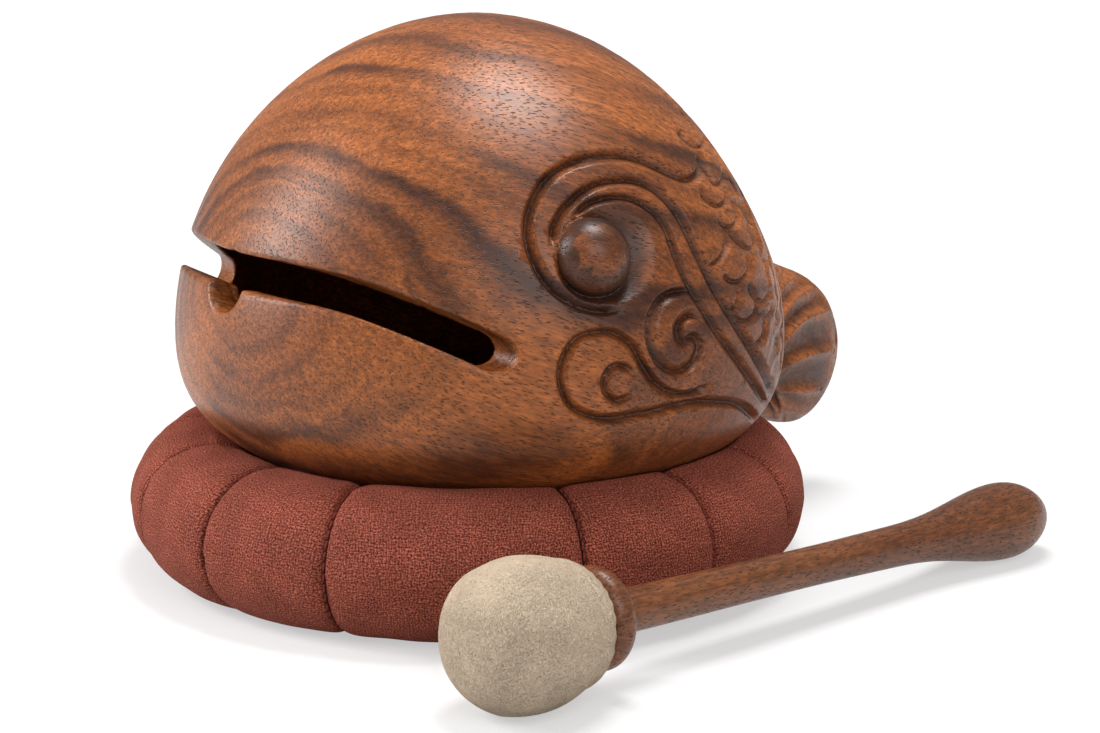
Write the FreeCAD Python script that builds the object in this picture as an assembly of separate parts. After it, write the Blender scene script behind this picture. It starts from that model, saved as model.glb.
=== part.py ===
"""A mokugyo: a hollow carved wooden fish on a sewn ring cushion, with its padded mallet.

Millimetres, +Z up. The mouth looks towards -X and the tail towards +X. While the pieces are
made, the middle of the cushion's ring is on the Z axis. At the end the set is moved so that
the origin is the bottom centre of the box round all of it.
"""
import FreeCAD, Part
import math
import os

# Fish body, measured from its widest section
NOSE_REACH = 83.5
TAIL_REACH = 133.5
HALF_WIDTH = 88.5
CROWN_RISE = 88.0
BELLY_DROP = 42.5
BODY_OFFSET = 3.5
NOSE_CAP_ANGLE = 3.2
WALL = 9.0
CHAMBER_BACK_REACH = 76.0

# Mouth: a slit sawn through from side to side, and the round hole at its front
SLIT_HEIGHT = 9.0
SLIT_RISE = 25.4
SLIT_BEND_REACH = 74.9
SLIT_BEND_RADIUS = 22.0
SLIT_DROP_ANGLE = 32.4
SLIT_END_REACH = 52.0
SLIT_TURN = 6.0
MOUTH_DIAMETER = 16.0

# Eyes
EYE_DIAMETER = 20.6
EYE_BEHIND_FRONT = 66.5
EYE_RISE = 32.5
EYE_SINK = 4.2

# Carving, the same on both flanks: round-bottomed grooves, hollows round the eyes, and the tail's flutes
GROOVE_WIDTH = 2.6
SOCKET_DIAMETER = 22.8
SOCKET_DEPTH = 2.8
FLUTE_START = 1.2
FLUTE_END = 5.0
FLUTE_DEPTH = 1.7
FLUTE_START_ROW = 9
FLUTE_END_ROW = 12

# Ring cushion
CUSHION_DIAMETER = 190.0
TUBE_DIAMETER = 39.8
FLAT_DEPTH = 0.5
PANEL_COUNT = 14
WIDE_PANEL_ANGLE = 41.4
WIDE_PANEL_DIRECTION = -126.7
SEAM_DEPTH = 1.7
CLOTH = 1.2
THREAD_DIAMETER = 0.9
THREAD_GAP = 0.2
SEAT_DIP = 0.35
SEAT_GAP = 0.3
SEAT_ANGLE = 120.0

# Mallet, measured along its axis from the middle of the head
HEAD_DIAMETER = 37.4
HEAD_FRONT = 19.8
HEAD_BACK = 17.6
SUEDE = 1.6
PADDING = 4.2
TENON_DIAMETER = 8.0
TENON_START = 8.0
COLLAR_DIAMETER = 26.0
COLLAR_LENGTH = 8.0
TIE_DIAMETER = 1.2
TIE_GAP = 0.1
WAIST_DIAMETER = 10.5
POMMEL_DIAMETER = 21.6
HANDLE_LENGTH = 179.0
MALLET_TURN = 7.3
MALLET_SIDE = 115.6
MALLET_BACK = 61.8

OVERRUN = 20.0

# Section curves: the power of each half of the outline, and its points
PLAN_POWER = 2.0
CROWN_POWER = 1.93
BELLY_POWER = 2.4
SECTION_POINTS = 20
FRONT_SECTIONS = 7
# Back of the body: each row is the way back as a share of the tail's reach, the half width as a
# share of the widest, and the waist, top and bottom as shares of the body's height
BACK_SHARES = (
    (0.124, 0.980, 0.326, 0.983, 0.003),
    (0.243, 0.923, 0.326, 0.937, 0.015),
    (0.363, 0.820, 0.325, 0.840, 0.038),
    (0.453, 0.694, 0.321, 0.733, 0.062),
    (0.528, 0.556, 0.312, 0.653, 0.079),
    (0.588, 0.430, 0.294, 0.584, 0.084),
    (0.640, 0.328, 0.271, 0.520, 0.072),
    (0.685, 0.260, 0.248, 0.463, 0.053),
    (0.730, 0.220, 0.229, 0.425, 0.030),
    (0.783, 0.198, 0.214, 0.394, 0.007),
    (0.843, 0.175, 0.198, 0.367, -0.008),
    (0.903, 0.141, 0.187, 0.340, 0.003),
    (0.948, 0.107, 0.179, 0.306, 0.038),
    (0.978, 0.073, 0.172, 0.264, 0.076),
    (0.995, 0.040, 0.168, 0.214, 0.122),
    (1.000, 0.020, 0.168, 0.195, 0.145),
)
# Carved grooves of one flank: points along the body and up it from the widest section's waist, as
# shares of the tail's reach and the crown's rise
EYE_SCROLL_SHARES = (
    (-0.107, 0.228), (-0.151, 0.230), (-0.187, 0.247), (-0.219, 0.280), (-0.240, 0.325),
    (-0.251, 0.379), (-0.251, 0.430), (-0.239, 0.488), (-0.216, 0.540), (-0.182, 0.591),
    (-0.143, 0.623), (-0.097, 0.643), (-0.052, 0.650), (0.001, 0.645), (0.042, 0.629),
    (0.075, 0.606), (0.110, 0.580), (0.140, 0.561), (0.171, 0.561), (0.204, 0.576), (0.223, 0.599),
)
BROW_SHARES = (
    (-0.208, 0.415), (-0.201, 0.460), (-0.178, 0.501), (-0.152, 0.531), (-0.117, 0.560),
    (-0.079, 0.578), (-0.034, 0.582), (0.009, 0.574), (0.045, 0.548), (0.069, 0.511),
    (0.087, 0.464), (0.098, 0.407), (0.110, 0.346), (0.126, 0.287), (0.144, 0.231),
    (0.185, 0.146), (0.245, 0.043), (0.314, -0.061),
)
UPPER_CURL_SHARES = (
    (0.083, 0.239), (0.067, 0.259), (0.033, 0.265), (0.000, 0.260), (-0.027, 0.237),
    (-0.045, 0.205), (-0.053, 0.169), (-0.054, 0.129), (-0.044, 0.089), (-0.027, 0.056),
    (0.001, 0.033), (0.030, 0.032), (0.058, 0.053), (0.073, 0.088), (0.071, 0.111),
)
LOWER_SCROLL_SHARES = (
    (0.100, -0.023), (0.053, -0.035), (0.014, -0.033), (-0.016, -0.014), (-0.042, 0.014),
    (-0.062, 0.053), (-0.074, 0.087), (-0.086, 0.123), (-0.104, 0.151), (-0.127, 0.171),
    (-0.158, 0.176), (-0.189, 0.170), (-0.211, 0.146), (-0.227, 0.108), (-0.234, 0.075),
    (-0.235, 0.035), (-0.228, -0.004), (-0.212, -0.044), (-0.183, -0.071), (-0.151, -0.084),
    (-0.116, -0.086), (-0.072, -0.082), (-0.027, -0.079), (0.021, -0.072), (0.078, -0.077),
    (0.130, -0.093), (0.191, -0.118), (0.256, -0.168),
)
SMALL_CURL_SHARES = (
    (-0.092, 0.040), (-0.100, 0.062), (-0.118, 0.076), (-0.139, 0.070), (-0.151, 0.046),
    (-0.154, 0.020), (-0.148, -0.007), (-0.129, -0.030), (-0.109, -0.027), (-0.092, -0.009),
)
# Flutes of the tail: how high each one starts and ends on its section, from -1 at the bottom to 1 at the top
FLUTE_SHARES = (
    (-0.55, -0.72),
    (-0.32, -0.34),
    (-0.12, 0.10),
    (0.10, 0.45),
    (0.32, 0.74),
)
# Crown of one cushion panel: the way along it, and how far it is still drawn in
PANEL_SHARES = (
    (0.00, 1.00),
    (0.05, 0.56),
    (0.15, 0.18),
    (0.50, 0.00),
    (0.85, 0.18),
    (0.95, 0.56),
    (1.00, 1.00),
)
# Outline of the mallet's head: the way along it, from its front at -1 to its back at 1, and the
# distance out from its axis as a share of its radius
HEAD_SHARES = (
    (-1.000, 0.000),
    (-0.896, 0.620),
    (-0.528, 0.955),
    (0.000, 1.000),
    (0.575, 0.880),
    (0.904, 0.737),
    (1.000, 0.455),
)
# Shaft and pommel: the way along the handle behind the collar, and the swell from the
# waist's radius to the pommel's
HANDLE_SHARES = (
    (0.000, 0.060),
    (0.200, 0.030),
    (0.470, 0.000),
    (0.606, 0.060),
    (0.664, 0.105),
    (0.734, 0.300),
    (0.807, 0.680),
    (0.884, 1.000),
    (0.953, 0.640),
)

ring_radius = (CUSHION_DIAMETER - TUBE_DIAMETER) / 2
tube_radius = TUBE_DIAMETER / 2
tube_middle = tube_radius - FLAT_DEPTH
cushion_top = tube_middle + tube_radius
body_height = CROWN_RISE + BELLY_DROP


def vector(x, y, z):
    return FreeCAD.Vector(x, y, z)


def line(start, end):
    return Part.LineSegment(start, end).toShape()


def arc(start, middle, end):
    return Part.Arc(start, middle, end).toShape()


def rounded(share, power):
    """Height of a rounded outline at a share of its reach."""
    return (1 - abs(share) ** power) ** (1 / power)


# The belly presses the crown of the cushion down by the seat's dip
belly_at_ring = BELLY_DROP * rounded(ring_radius / HALF_WIDTH, BELLY_POWER)
waist_height = cushion_top - SEAT_DIP + belly_at_ring
body_bottom = waist_height - BELLY_DROP
slit_height = waist_height + SLIT_RISE


def section(x, half_width, waist, top, bottom):
    """One closed cross-section of the fish, at a place along X."""
    points = []
    for step in range(SECTION_POINTS):
        turn = 2 * math.pi * step / SECTION_POINTS
        power = CROWN_POWER if step < SECTION_POINTS / 2 else BELLY_POWER
        reach = top - waist if step < SECTION_POINTS / 2 else waist - bottom
        across = math.copysign(abs(math.cos(turn)) ** (2 / power), math.cos(turn))
        up = math.copysign(abs(math.sin(turn)) ** (2 / power), math.sin(turn))
        points.append(vector(x, half_width * across, waist + reach * up))
    curve = Part.BSplineCurve()
    curve.interpolate(points, PeriodicFlag=True)
    return Part.Wire([curve.toShape()])


def rounded_sections(reach, grow, way):
    """Sections of a rounded end, from its cap towards the widest place."""
    sections = []
    for step in range(FRONT_SECTIONS):
        share = step / (FRONT_SECTIONS - 1)
        angle = math.radians(NOSE_CAP_ANGLE + (90 - NOSE_CAP_ANGLE) * share)
        along = math.cos(angle)
        rise = (CROWN_RISE + grow) * rounded(along, CROWN_POWER)
        drop = (BELLY_DROP + grow) * rounded(along, BELLY_POWER)
        wide = (HALF_WIDTH + grow) * rounded(along, PLAN_POWER)
        x = BODY_OFFSET + way * (reach + grow) * along
        sections.append(section(x, wide, waist_height, waist_height + rise, waist_height - drop))
    return sections


def fish_form(grow):
    """The whole outside of the fish, grown on every side."""
    wires = rounded_sections(NOSE_REACH, grow, -1)
    for along, wide, waist, top, bottom in BACK_SHARES:
        x = BODY_OFFSET + (TAIL_REACH + grow) * along
        upper = body_bottom + body_height * top + grow
        lower = body_bottom + body_height * bottom - grow
        middle = body_bottom + body_height * waist
        wires.append(section(x, HALF_WIDTH * wide + grow, middle, upper, lower))
    return Part.makeLoft(wires, True, False)


def chamber_form():
    """The hollow that makes the sound, one wall inside the body."""
    wires = rounded_sections(NOSE_REACH, -WALL, -1)
    back = rounded_sections(CHAMBER_BACK_REACH, -WALL, 1)
    back.reverse()
    return Part.makeLoft(wires + back[1:], True, False)


def slit_form():
    """The saw cut in the near flank: level at the front, then bent down, with a round end."""
    half = SLIT_HEIGHT / 2
    drop = math.radians(SLIT_DROP_ANGLE)
    front_x = BODY_OFFSET - NOSE_REACH - OVERRUN
    corner_x = BODY_OFFSET - SLIT_BEND_REACH
    bend_x = corner_x - SLIT_BEND_RADIUS * math.tan(drop / 2)
    bend_z = slit_height - SLIT_BEND_RADIUS
    end_x = BODY_OFFSET - SLIT_END_REACH
    end_z = slit_height - (end_x - corner_x) * math.tan(drop)

    def bend(radius, turn):
        return vector(bend_x + radius * math.sin(turn), 0, bend_z + radius * math.cos(turn))

    def end(turn):
        return vector(end_x + half * math.sin(turn), 0, end_z + half * math.cos(turn))

    outer = SLIT_BEND_RADIUS + half
    inner = SLIT_BEND_RADIUS - half
    upper_front = vector(front_x, 0, slit_height + half)
    lower_front = vector(front_x, 0, slit_height - half)
    tip = drop + math.pi / 2
    below = drop + math.pi
    outline = Part.Wire([
        line(upper_front, bend(outer, 0)),
        arc(bend(outer, 0), bend(outer, drop / 2), bend(outer, drop)),
        line(bend(outer, drop), end(drop)),
        arc(end(drop), end(tip), end(below)),
        line(end(below), bend(inner, drop)),
        arc(bend(inner, drop), bend(inner, drop / 2), bend(inner, 0)),
        line(bend(inner, 0), lower_front),
        line(lower_front, upper_front),
    ])
    side = HALF_WIDTH + OVERRUN
    outline.translate(vector(0, -side, 0))
    cut = Part.Face(outline).extrude(vector(0, 2 * side, 0))
    cut.rotate(vector(0, 0, 0), vector(0, 0, 1), SLIT_TURN)
    return cut


def mouth_form():
    """The round hole at the front, its top level with the slit's."""
    radius = MOUTH_DIAMETER / 2
    start = vector(BODY_OFFSET - NOSE_REACH - OVERRUN, 0, slit_height + SLIT_HEIGHT / 2 - radius)
    length = OVERRUN + WALL + MOUTH_DIAMETER
    return Part.makeCylinder(radius, length, start, vector(1, 0, 0))


def eye_place():
    """Middle of the near eyeball, sunk into the flank, and the way out of the flank there."""
    forward = NOSE_REACH - EYE_BEHIND_FRONT
    share = forward / NOSE_REACH
    level = EYE_RISE / (CROWN_RISE * rounded(share, CROWN_POWER))
    flank = HALF_WIDTH * rounded(share, PLAN_POWER) * rounded(level, CROWN_POWER)
    place = vector(BODY_OFFSET - forward, EYE_SINK - flank, waist_height + EYE_RISE)
    way = vector(-forward / NOSE_REACH ** 2, -flank / HALF_WIDTH ** 2, EYE_RISE / CROWN_RISE ** 2)
    return place, way.normalize()


def socket_form():
    """The hollow round the near eyeball."""
    place, way = eye_place()
    return Part.makeTorus(SOCKET_DIAMETER / 2, SOCKET_DEPTH, place + way * EYE_SINK, way)


def groove_form(shares, form):
    """The path of a round tool along a line on the near flank."""
    side = HALF_WIDTH + OVERRUN
    points = []
    for along, up in shares:
        points.append(vector(BODY_OFFSET + TAIL_REACH * along, -side, waist_height + CROWN_RISE * up))
    curve = Part.BSplineCurve()
    curve.interpolate(points)
    marked = form.makeParallelProjection(curve.toShape(), vector(0, 1, 0))
    edge = min(marked.Edges, key=lambda marked_edge: marked_edge.CenterOfMass.y)
    path = Part.BSplineCurve()
    path.interpolate(edge.discretize(len(shares)))
    start = path.value(path.FirstParameter)
    tool = Part.makeCircle(GROOVE_WIDTH / 2, start, path.tangent(path.FirstParameter)[0])
    return Part.Wire([path.toShape()]).makePipeShell([Part.Wire([tool])], True, False)


def tail_point(row, level):
    """A point of the near flank on one of the tail's sections, and the way out of it."""
    along, wide, waist, top, bottom = row
    power = CROWN_POWER if level > 0 else BELLY_POWER
    reach = body_height * (top - waist if level > 0 else waist - bottom)
    across = rounded(level, power)
    x = BODY_OFFSET + TAIL_REACH * along
    z = body_bottom + body_height * waist + reach * level
    out = across ** (power - 1) / (HALF_WIDTH * wide)
    up = math.copysign(abs(level) ** (power - 1), level) / reach
    return vector(x, -HALF_WIDTH * wide * across, z), vector(0, -out, up).normalize()


def flute_form(start_level, end_level):
    """One flute of the tail: a cone that runs out over the rim."""
    start, start_way = tail_point(BACK_SHARES[FLUTE_START_ROW], start_level)
    end, end_way = tail_point(BACK_SHARES[FLUTE_END_ROW], end_level)
    end += end_way * (FLUTE_END - FLUTE_DEPTH)
    way = end - start
    growth = (FLUTE_END - FLUTE_START) / way.Length
    length = way.Length + OVERRUN
    return Part.makeCone(FLUTE_START, FLUTE_START + growth * length, length, start, way)


def carving_forms(form):
    """All that is sawn and carved out of the near flank."""
    lines = (EYE_SCROLL_SHARES, BROW_SHARES, UPPER_CURL_SHARES, LOWER_SCROLL_SHARES, SMALL_CURL_SHARES)
    tools = [groove_form(shares, form) for shares in lines]
    tools += [socket_form(), slit_form()]
    return tools + [flute_form(start, end) for start, end in FLUTE_SHARES]


def make_fish():
    form = fish_form(0)
    side = TAIL_REACH + OVERRUN
    near_side = Part.makeBox(2 * side, side, 2 * side, vector(-side, -side, -side))
    flank = form.common(near_side)
    for tool in carving_forms(form):
        flank = flank.cut(tool)
    flank = flank.fuse(Part.makeSphere(EYE_DIAMETER / 2, eye_place()[0]))
    body = flank.fuse(flank.mirror(vector(0, 0, 0), vector(0, 1, 0)))
    return body.cut([chamber_form(), mouth_form()])


def seam_angles():
    """Directions of the seams round the ring, the wide panel's two first."""
    step = (360 - WIDE_PANEL_ANGLE) / (PANEL_COUNT - 1)
    first = WIDE_PANEL_DIRECTION - WIDE_PANEL_ANGLE / 2
    angles = [first]
    for count in range(PANEL_COUNT - 1):
        angles.append(first + WIDE_PANEL_ANGLE + step * count)
    angles.append(first + 360)
    return angles


def tube_point(direction, angle, radius):
    """A point of the tube's section at a direction round the ring: 0 is outwards, 90 is up."""
    turn = math.radians(direction)
    out = ring_radius + radius * math.cos(math.radians(angle))
    up = tube_middle + radius * math.sin(math.radians(angle))
    return vector(out * math.cos(turn), out * math.sin(turn), up)


def tube_wire(direction, radius):
    """A round section of the tube, in four quarter arcs, at a direction round the ring."""
    edges = []
    for start in (45, 135, 225, 315):
        ends = [tube_point(direction, start + share * 90, radius) for share in (0, 0.5, 1)]
        edges.append(arc(ends[0], ends[1], ends[2]))
    return Part.Wire(edges)


def make_stuffing():
    """The ring of wadding inside all the panels."""
    radius = tube_radius - SEAM_DEPTH - CLOTH
    ring = Part.makeTorus(ring_radius, radius, vector(0, 0, tube_middle))
    return ring.cut(fish_form(SEAT_GAP + CLOTH))


def make_panel(start, end, stuffing, seat):
    """One crowned panel of the cover, open at its seams, pressed by the fish and the floor."""
    wires = []
    for along, drawn in PANEL_SHARES:
        wires.append(tube_wire(start + (end - start) * along, tube_radius - SEAM_DEPTH * drawn))
    panel = Part.makeLoft(wires, True, False)
    side = CUSHION_DIAMETER + OVERRUN
    floor = Part.makeBox(side, side, OVERRUN, vector(-side / 2, -side / 2, -OVERRUN))
    return panel.cut([floor, seat, stuffing])


def free_end(direction, foot_angle, radius, seat):
    """How far up one side of the tube's section stays free of the seat, as an angle."""
    angles = (foot_angle, (foot_angle + SEAT_ANGLE) / 2, SEAT_ANGLE)
    points = [tube_point(direction, angle, radius) for angle in angles]
    free = arc(points[0], points[1], points[2]).cut(seat)
    lowest = min(free.Edges, key=lambda edge: edge.distToShape(Part.Vertex(points[0]))[0])
    end = max([vertex.Point for vertex in lowest.Vertexes], key=lambda point: (point - points[0]).Length)
    out = math.hypot(end.x, end.y) - ring_radius
    return math.degrees(math.atan2(end.z - tube_middle, out)) % 360


def make_thread(direction, seat):
    """The stitching that lies in one seam, from where the fish presses on it round to there again."""
    radius = tube_radius - SEAM_DEPTH + THREAD_GAP + THREAD_DIAMETER / 2
    outside = free_end(direction, -90, radius + THREAD_DIAMETER / 2, seat)
    inside = free_end(direction, 270, radius + THREAD_DIAMETER / 2, seat)
    sweep = (outside - inside) % 360 or 360
    turn = math.radians(direction)
    along = vector(math.sin(turn), -math.cos(turn), 0)
    start = tube_point(direction, inside, radius)
    across = start - tube_point(direction, inside, 0)
    face = Part.Face(Part.Wire([Part.makeCircle(THREAD_DIAMETER / 2, start, across.cross(along))]))
    return face.revolve(tube_point(direction, 0, 0), along, sweep)


def turned(edges):
    """A turned piece: an outline above the X axis, spun round it."""
    return Part.Face(Part.Wire(edges)).revolve(vector(0, 0, 0), vector(1, 0, 0), 360)


def head_form(inset):
    """The mallet's rounded head, drawn in by an inset."""
    points = []
    for along, out in HEAD_SHARES:
        reach = (HEAD_FRONT if along < 0 else HEAD_BACK) - inset
        points.append(vector(reach * along, 0, (HEAD_DIAMETER / 2 - inset) * out))
    centre = vector(points[-1].x, 0, 0)
    return turned([
        arc(points[0], points[1], points[2]),
        arc(points[2], points[3], points[4]),
        arc(points[4], points[5], points[6]),
        line(points[6], centre),
        line(centre, points[0]),
    ])


def handle_form():
    """The turned handle: tenon, shaft, and the pommel at its end."""
    waist = WAIST_DIAMETER / 2
    swell = (POMMEL_DIAMETER - WAIST_DIAMETER) / 2
    tenon = TENON_DIAMETER / 2
    shaft_start = HEAD_BACK + COLLAR_LENGTH / 2
    points = []
    for along, share in HANDLE_SHARES:
        points.append(vector(shaft_start + HANDLE_LENGTH * along, 0, waist + swell * share))
    tip = vector(shaft_start + HANDLE_LENGTH, 0, 0)
    curve = Part.BSplineCurve()
    curve.interpolate(points + [tip], InitialTangent=vector(1, 0, 0), FinalTangent=vector(0, 0, -1))
    start = vector(-TENON_START, 0, 0)
    front_rim = vector(-TENON_START, 0, tenon)
    shoulder = vector(shaft_start, 0, tenon)
    return turned([
        line(start, front_rim),
        line(front_rim, shoulder),
        line(shoulder, points[0]),
        curve.toShape(),
        line(tip, start),
    ])


def collar_form():
    """The turned bead that closes the back of the head."""
    start = HEAD_BACK
    end = start + COLLAR_LENGTH
    outer = COLLAR_DIAMETER / 2
    rim = outer - COLLAR_LENGTH / 2
    return turned([
        line(vector(start, 0, 0), vector(start, 0, rim)),
        arc(vector(start, 0, rim), vector((start + end) / 2, 0, outer), vector(end, 0, rim)),
        line(vector(end, 0, rim), vector(end, 0, 0)),
        line(vector(end, 0, 0), vector(start, 0, 0)),
    ])


def make_mallet():
    """The mallet's pieces, laid along X with the middle of the head at the origin."""
    axis = vector(1, 0, 0)
    handle = handle_form()
    tie_radius = (TENON_DIAMETER + TIE_DIAMETER) / 2 + TIE_GAP
    tie_place = vector(HEAD_BACK - SUEDE / 2, 0, 0)
    neck_radius = tie_radius + TIE_DIAMETER / 2 + TIE_GAP
    neck_hole = Part.makeCylinder(neck_radius, OVERRUN, vector(HEAD_BACK - SUEDE, 0, 0), axis)
    suede_inside = head_form(SUEDE)
    padding_inside = head_form(SUEDE + PADDING)
    return {
        "mallet_handle": handle,
        "mallet_collar": collar_form().cut(handle),
        "head_core": padding_inside.cut(handle),
        "head_padding": suede_inside.cut([padding_inside, handle]),
        "head_cover": head_form(0).cut([suede_inside, neck_hole]),
        "cover_tie": Part.makeTorus(tie_radius, TIE_DIAMETER / 2, tie_place, axis),
    }


def box_of(shapes):
    return Part.makeCompound(list(shapes)).optimalBoundingBox()


def lay_down(pieces):
    """Rest the mallet's head and pommel on the floor, beside the cushion."""
    widest = max(HANDLE_SHARES, key=lambda row: row[1])[0]
    pommel_place = HEAD_BACK + COLLAR_LENGTH / 2 + HANDLE_LENGTH * widest
    dip = math.degrees(math.asin((HEAD_DIAMETER - POMMEL_DIAMETER) / 2 / pommel_place))
    for piece in pieces.values():
        piece.rotate(vector(0, 0, 0), vector(0, 1, 0), dip)
        piece.rotate(vector(0, 0, 0), vector(0, 0, 1), MALLET_TURN)
    lowest = box_of(pieces.values()).ZMin
    for piece in pieces.values():
        piece.translate(vector(-MALLET_BACK, -MALLET_SIDE, -lowest))


def make_set():
    """Every piece by name."""
    pieces = {"fish_body": make_fish()}
    stuffing = make_stuffing()
    seat = fish_form(SEAT_GAP)
    pieces["cushion_stuffing"] = stuffing
    angles = seam_angles()
    for count in range(PANEL_COUNT):
        number = f"{count + 1:02d}"
        pieces["cushion_panel_" + number] = make_panel(angles[count], angles[count + 1], stuffing, seat)
        pieces["seam_thread_" + number] = make_thread(angles[count], seat)
    mallet = make_mallet()
    lay_down(mallet)
    pieces.update(mallet)
    return pieces


def main():
    pieces = make_set()
    box = box_of(pieces.values())
    shift = vector(-box.Center.x, -box.Center.y, 0)
    os.makedirs("parts", exist_ok=True)
    for name, shape in pieces.items():
        shape.translate(shift)
        shape.exportStep(os.path.join("parts", name + ".step"))
        print(name, "solids", len(shape.Solids), "valid", shape.isValid(), "volume", round(shape.Volume, 1))
    print("ring centre", round(shift.x, 3), round(shift.y, 3), "box", box)
    print("waist height", round(waist_height, 3), "slit height", round(slit_height, 3))


main()
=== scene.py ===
"""The wooden fish on its ring cushion with its mallet: pieces, materials, light and camera.

Sizes are in millimetres with the middle of the cushion's ring on the Z axis, as in the part's source,
until placed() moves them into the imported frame's metres.
"""
import bpy
import math
import numpy as np
import openvdb
from mathutils import Matrix, Vector


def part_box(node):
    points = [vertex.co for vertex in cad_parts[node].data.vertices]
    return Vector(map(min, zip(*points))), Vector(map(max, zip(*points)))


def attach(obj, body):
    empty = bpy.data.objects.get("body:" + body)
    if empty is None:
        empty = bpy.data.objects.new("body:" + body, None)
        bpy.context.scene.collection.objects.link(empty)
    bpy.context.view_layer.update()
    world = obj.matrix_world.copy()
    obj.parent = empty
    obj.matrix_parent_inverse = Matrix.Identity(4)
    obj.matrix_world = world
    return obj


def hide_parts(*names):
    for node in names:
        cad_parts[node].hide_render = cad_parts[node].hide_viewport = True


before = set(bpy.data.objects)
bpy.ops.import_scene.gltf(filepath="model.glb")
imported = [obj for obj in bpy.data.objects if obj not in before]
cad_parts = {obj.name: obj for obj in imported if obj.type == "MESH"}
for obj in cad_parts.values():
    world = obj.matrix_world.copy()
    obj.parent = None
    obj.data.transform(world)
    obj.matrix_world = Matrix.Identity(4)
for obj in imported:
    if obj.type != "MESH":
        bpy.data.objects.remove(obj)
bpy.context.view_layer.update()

# Fish body, as in the part's source
NOSE_REACH, TAIL_REACH, HALF_WIDTH = 83.5, 133.5, 88.5
CROWN_RISE, BELLY_DROP, BODY_OFFSET = 88.0, 42.5, 3.5
NOSE_CAP_SHARE = 0.99844
WALL, CHAMBER_BACK_REACH = 9.0, 76.0
PLAN_POWER, CROWN_POWER, BELLY_POWER = 2.0, 1.93, 2.4
WAIST_HEIGHT = 65.581
SLIT_HEIGHT, SLIT_RISE, SLIT_BEND_REACH, SLIT_BEND_RADIUS = 9.0, 25.4, 74.9, 22.0
SLIT_DROP_ANGLE, SLIT_END_REACH, SLIT_TURN = 32.4, 52.0, 6.0
MOUTH_DIAMETER, MOUTH_DEPTH = 16.0, 25.0
EYE_DIAMETER, EYE_BEHIND_FRONT, EYE_RISE, EYE_SINK = 20.6, 66.5, 32.5, 4.2
LIP_ROUND, PLAIN_LIP, NOSE_ROUND = 1.4, 0.1, 1.5
SECTION_STEP, CHAMBER_SHARE = 0.25, 0.998
# The way back, half width, waist, top and bottom of the sections behind the widest one, as shares
BACK_SHARES = (
    (0.124, 0.980, 0.326, 0.983, 0.003), (0.243, 0.923, 0.326, 0.937, 0.015),
    (0.363, 0.820, 0.325, 0.840, 0.038), (0.453, 0.694, 0.321, 0.733, 0.062),
    (0.528, 0.556, 0.312, 0.653, 0.079), (0.588, 0.430, 0.294, 0.584, 0.084),
    (0.640, 0.328, 0.271, 0.520, 0.072), (0.685, 0.260, 0.248, 0.463, 0.053),
    (0.730, 0.220, 0.229, 0.425, 0.030), (0.783, 0.198, 0.214, 0.394, 0.007),
    (0.843, 0.175, 0.198, 0.367, -0.008), (0.903, 0.141, 0.187, 0.340, 0.003),
    (0.948, 0.107, 0.179, 0.306, 0.038), (0.978, 0.073, 0.172, 0.264, 0.076),
    (0.995, 0.040, 0.168, 0.214, 0.122), (1.000, 0.020, 0.168, 0.195, 0.145),
)
# Grid that the carved fish is meshed from, in blocks; distances are kept within a band round the surface
FISH_VOXEL, FISH_FLATNESS, FISH_BLOCK = 0.55, 0.06, 16
BAND, BAND_SPARE, BLOCK_HALF_DIAGONAL, BLOCKS_AT_ONCE = 3.0, 3.5, 0.87, 64
FISH_LOW, FISH_HIGH = (-84.0, -92.0, 18.0), (141.0, 92.0, 157.0)

# Ring cushion, as in the part's source
CUSHION_DIAMETER, TUBE_DIAMETER, FLAT_DEPTH = 190.0, 39.8, 0.5
PANEL_COUNT, WIDE_PANEL_ANGLE, WIDE_PANEL_DIRECTION = 14, 41.4, -126.7
SEAT_GAP = 0.3

# Mallet, as in the part's source
HEAD_DIAMETER, HEAD_FRONT, HEAD_BACK = 37.4, 19.8, 17.6
SUEDE, PADDING, TENON_DIAMETER = 1.6, 4.2, 8.0
COLLAR_DIAMETER, COLLAR_LENGTH = 26.0, 8.0
WAIST_DIAMETER, POMMEL_DIAMETER, HANDLE_LENGTH = 10.5, 21.6, 179.0
MALLET_TURN, MALLET_SIDE, MALLET_BACK = 7.3, 115.6, 61.8
TENON_START, TIE_DIAMETER, TIE_GAP = 8.0, 1.2, 0.1
HEAD_SHARES = (
    (-1.000, 0.000), (-0.896, 0.620), (-0.528, 0.955), (0.000, 1.000),
    (0.575, 0.880), (0.904, 0.737), (1.000, 0.455),
)
HANDLE_SHARES = (
    (0.000, 0.060), (0.200, 0.030), (0.470, 0.000), (0.606, 0.060), (0.664, 0.105),
    (0.734, 0.300), (0.807, 0.680), (0.884, 1.000), (0.953, 0.640),
)

# Photograph's camera: its frame and lens in pixels, and its place round the cushion
PHOTO_W, PHOTO_H, LENS_PX, SENSOR_MM = 1100.0, 733.0, 2590.5, 36.0
CAMERA_AZIMUTH, CAMERA_ELEVATION, CAMERA_DISTANCE = -36.0, 12.58, 738.0
AIM_HEIGHT, AIM_PX, AIM_PY = 19.94, 468.98, 485.41

low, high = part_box("cushion_stuffing")
ring_centre = np.array([(low.x + high.x) * 500, (low.y + high.y) * 500, 0])
ring_radius = (CUSHION_DIAMETER - TUBE_DIAMETER) / 2
tube_radius = TUBE_DIAMETER / 2
tube_middle = tube_radius - FLAT_DEPTH


def placed(points):
    """Ring-centred millimetres to the frame's metres."""
    return (np.asarray(points, float) + ring_centre) / 1000


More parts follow.
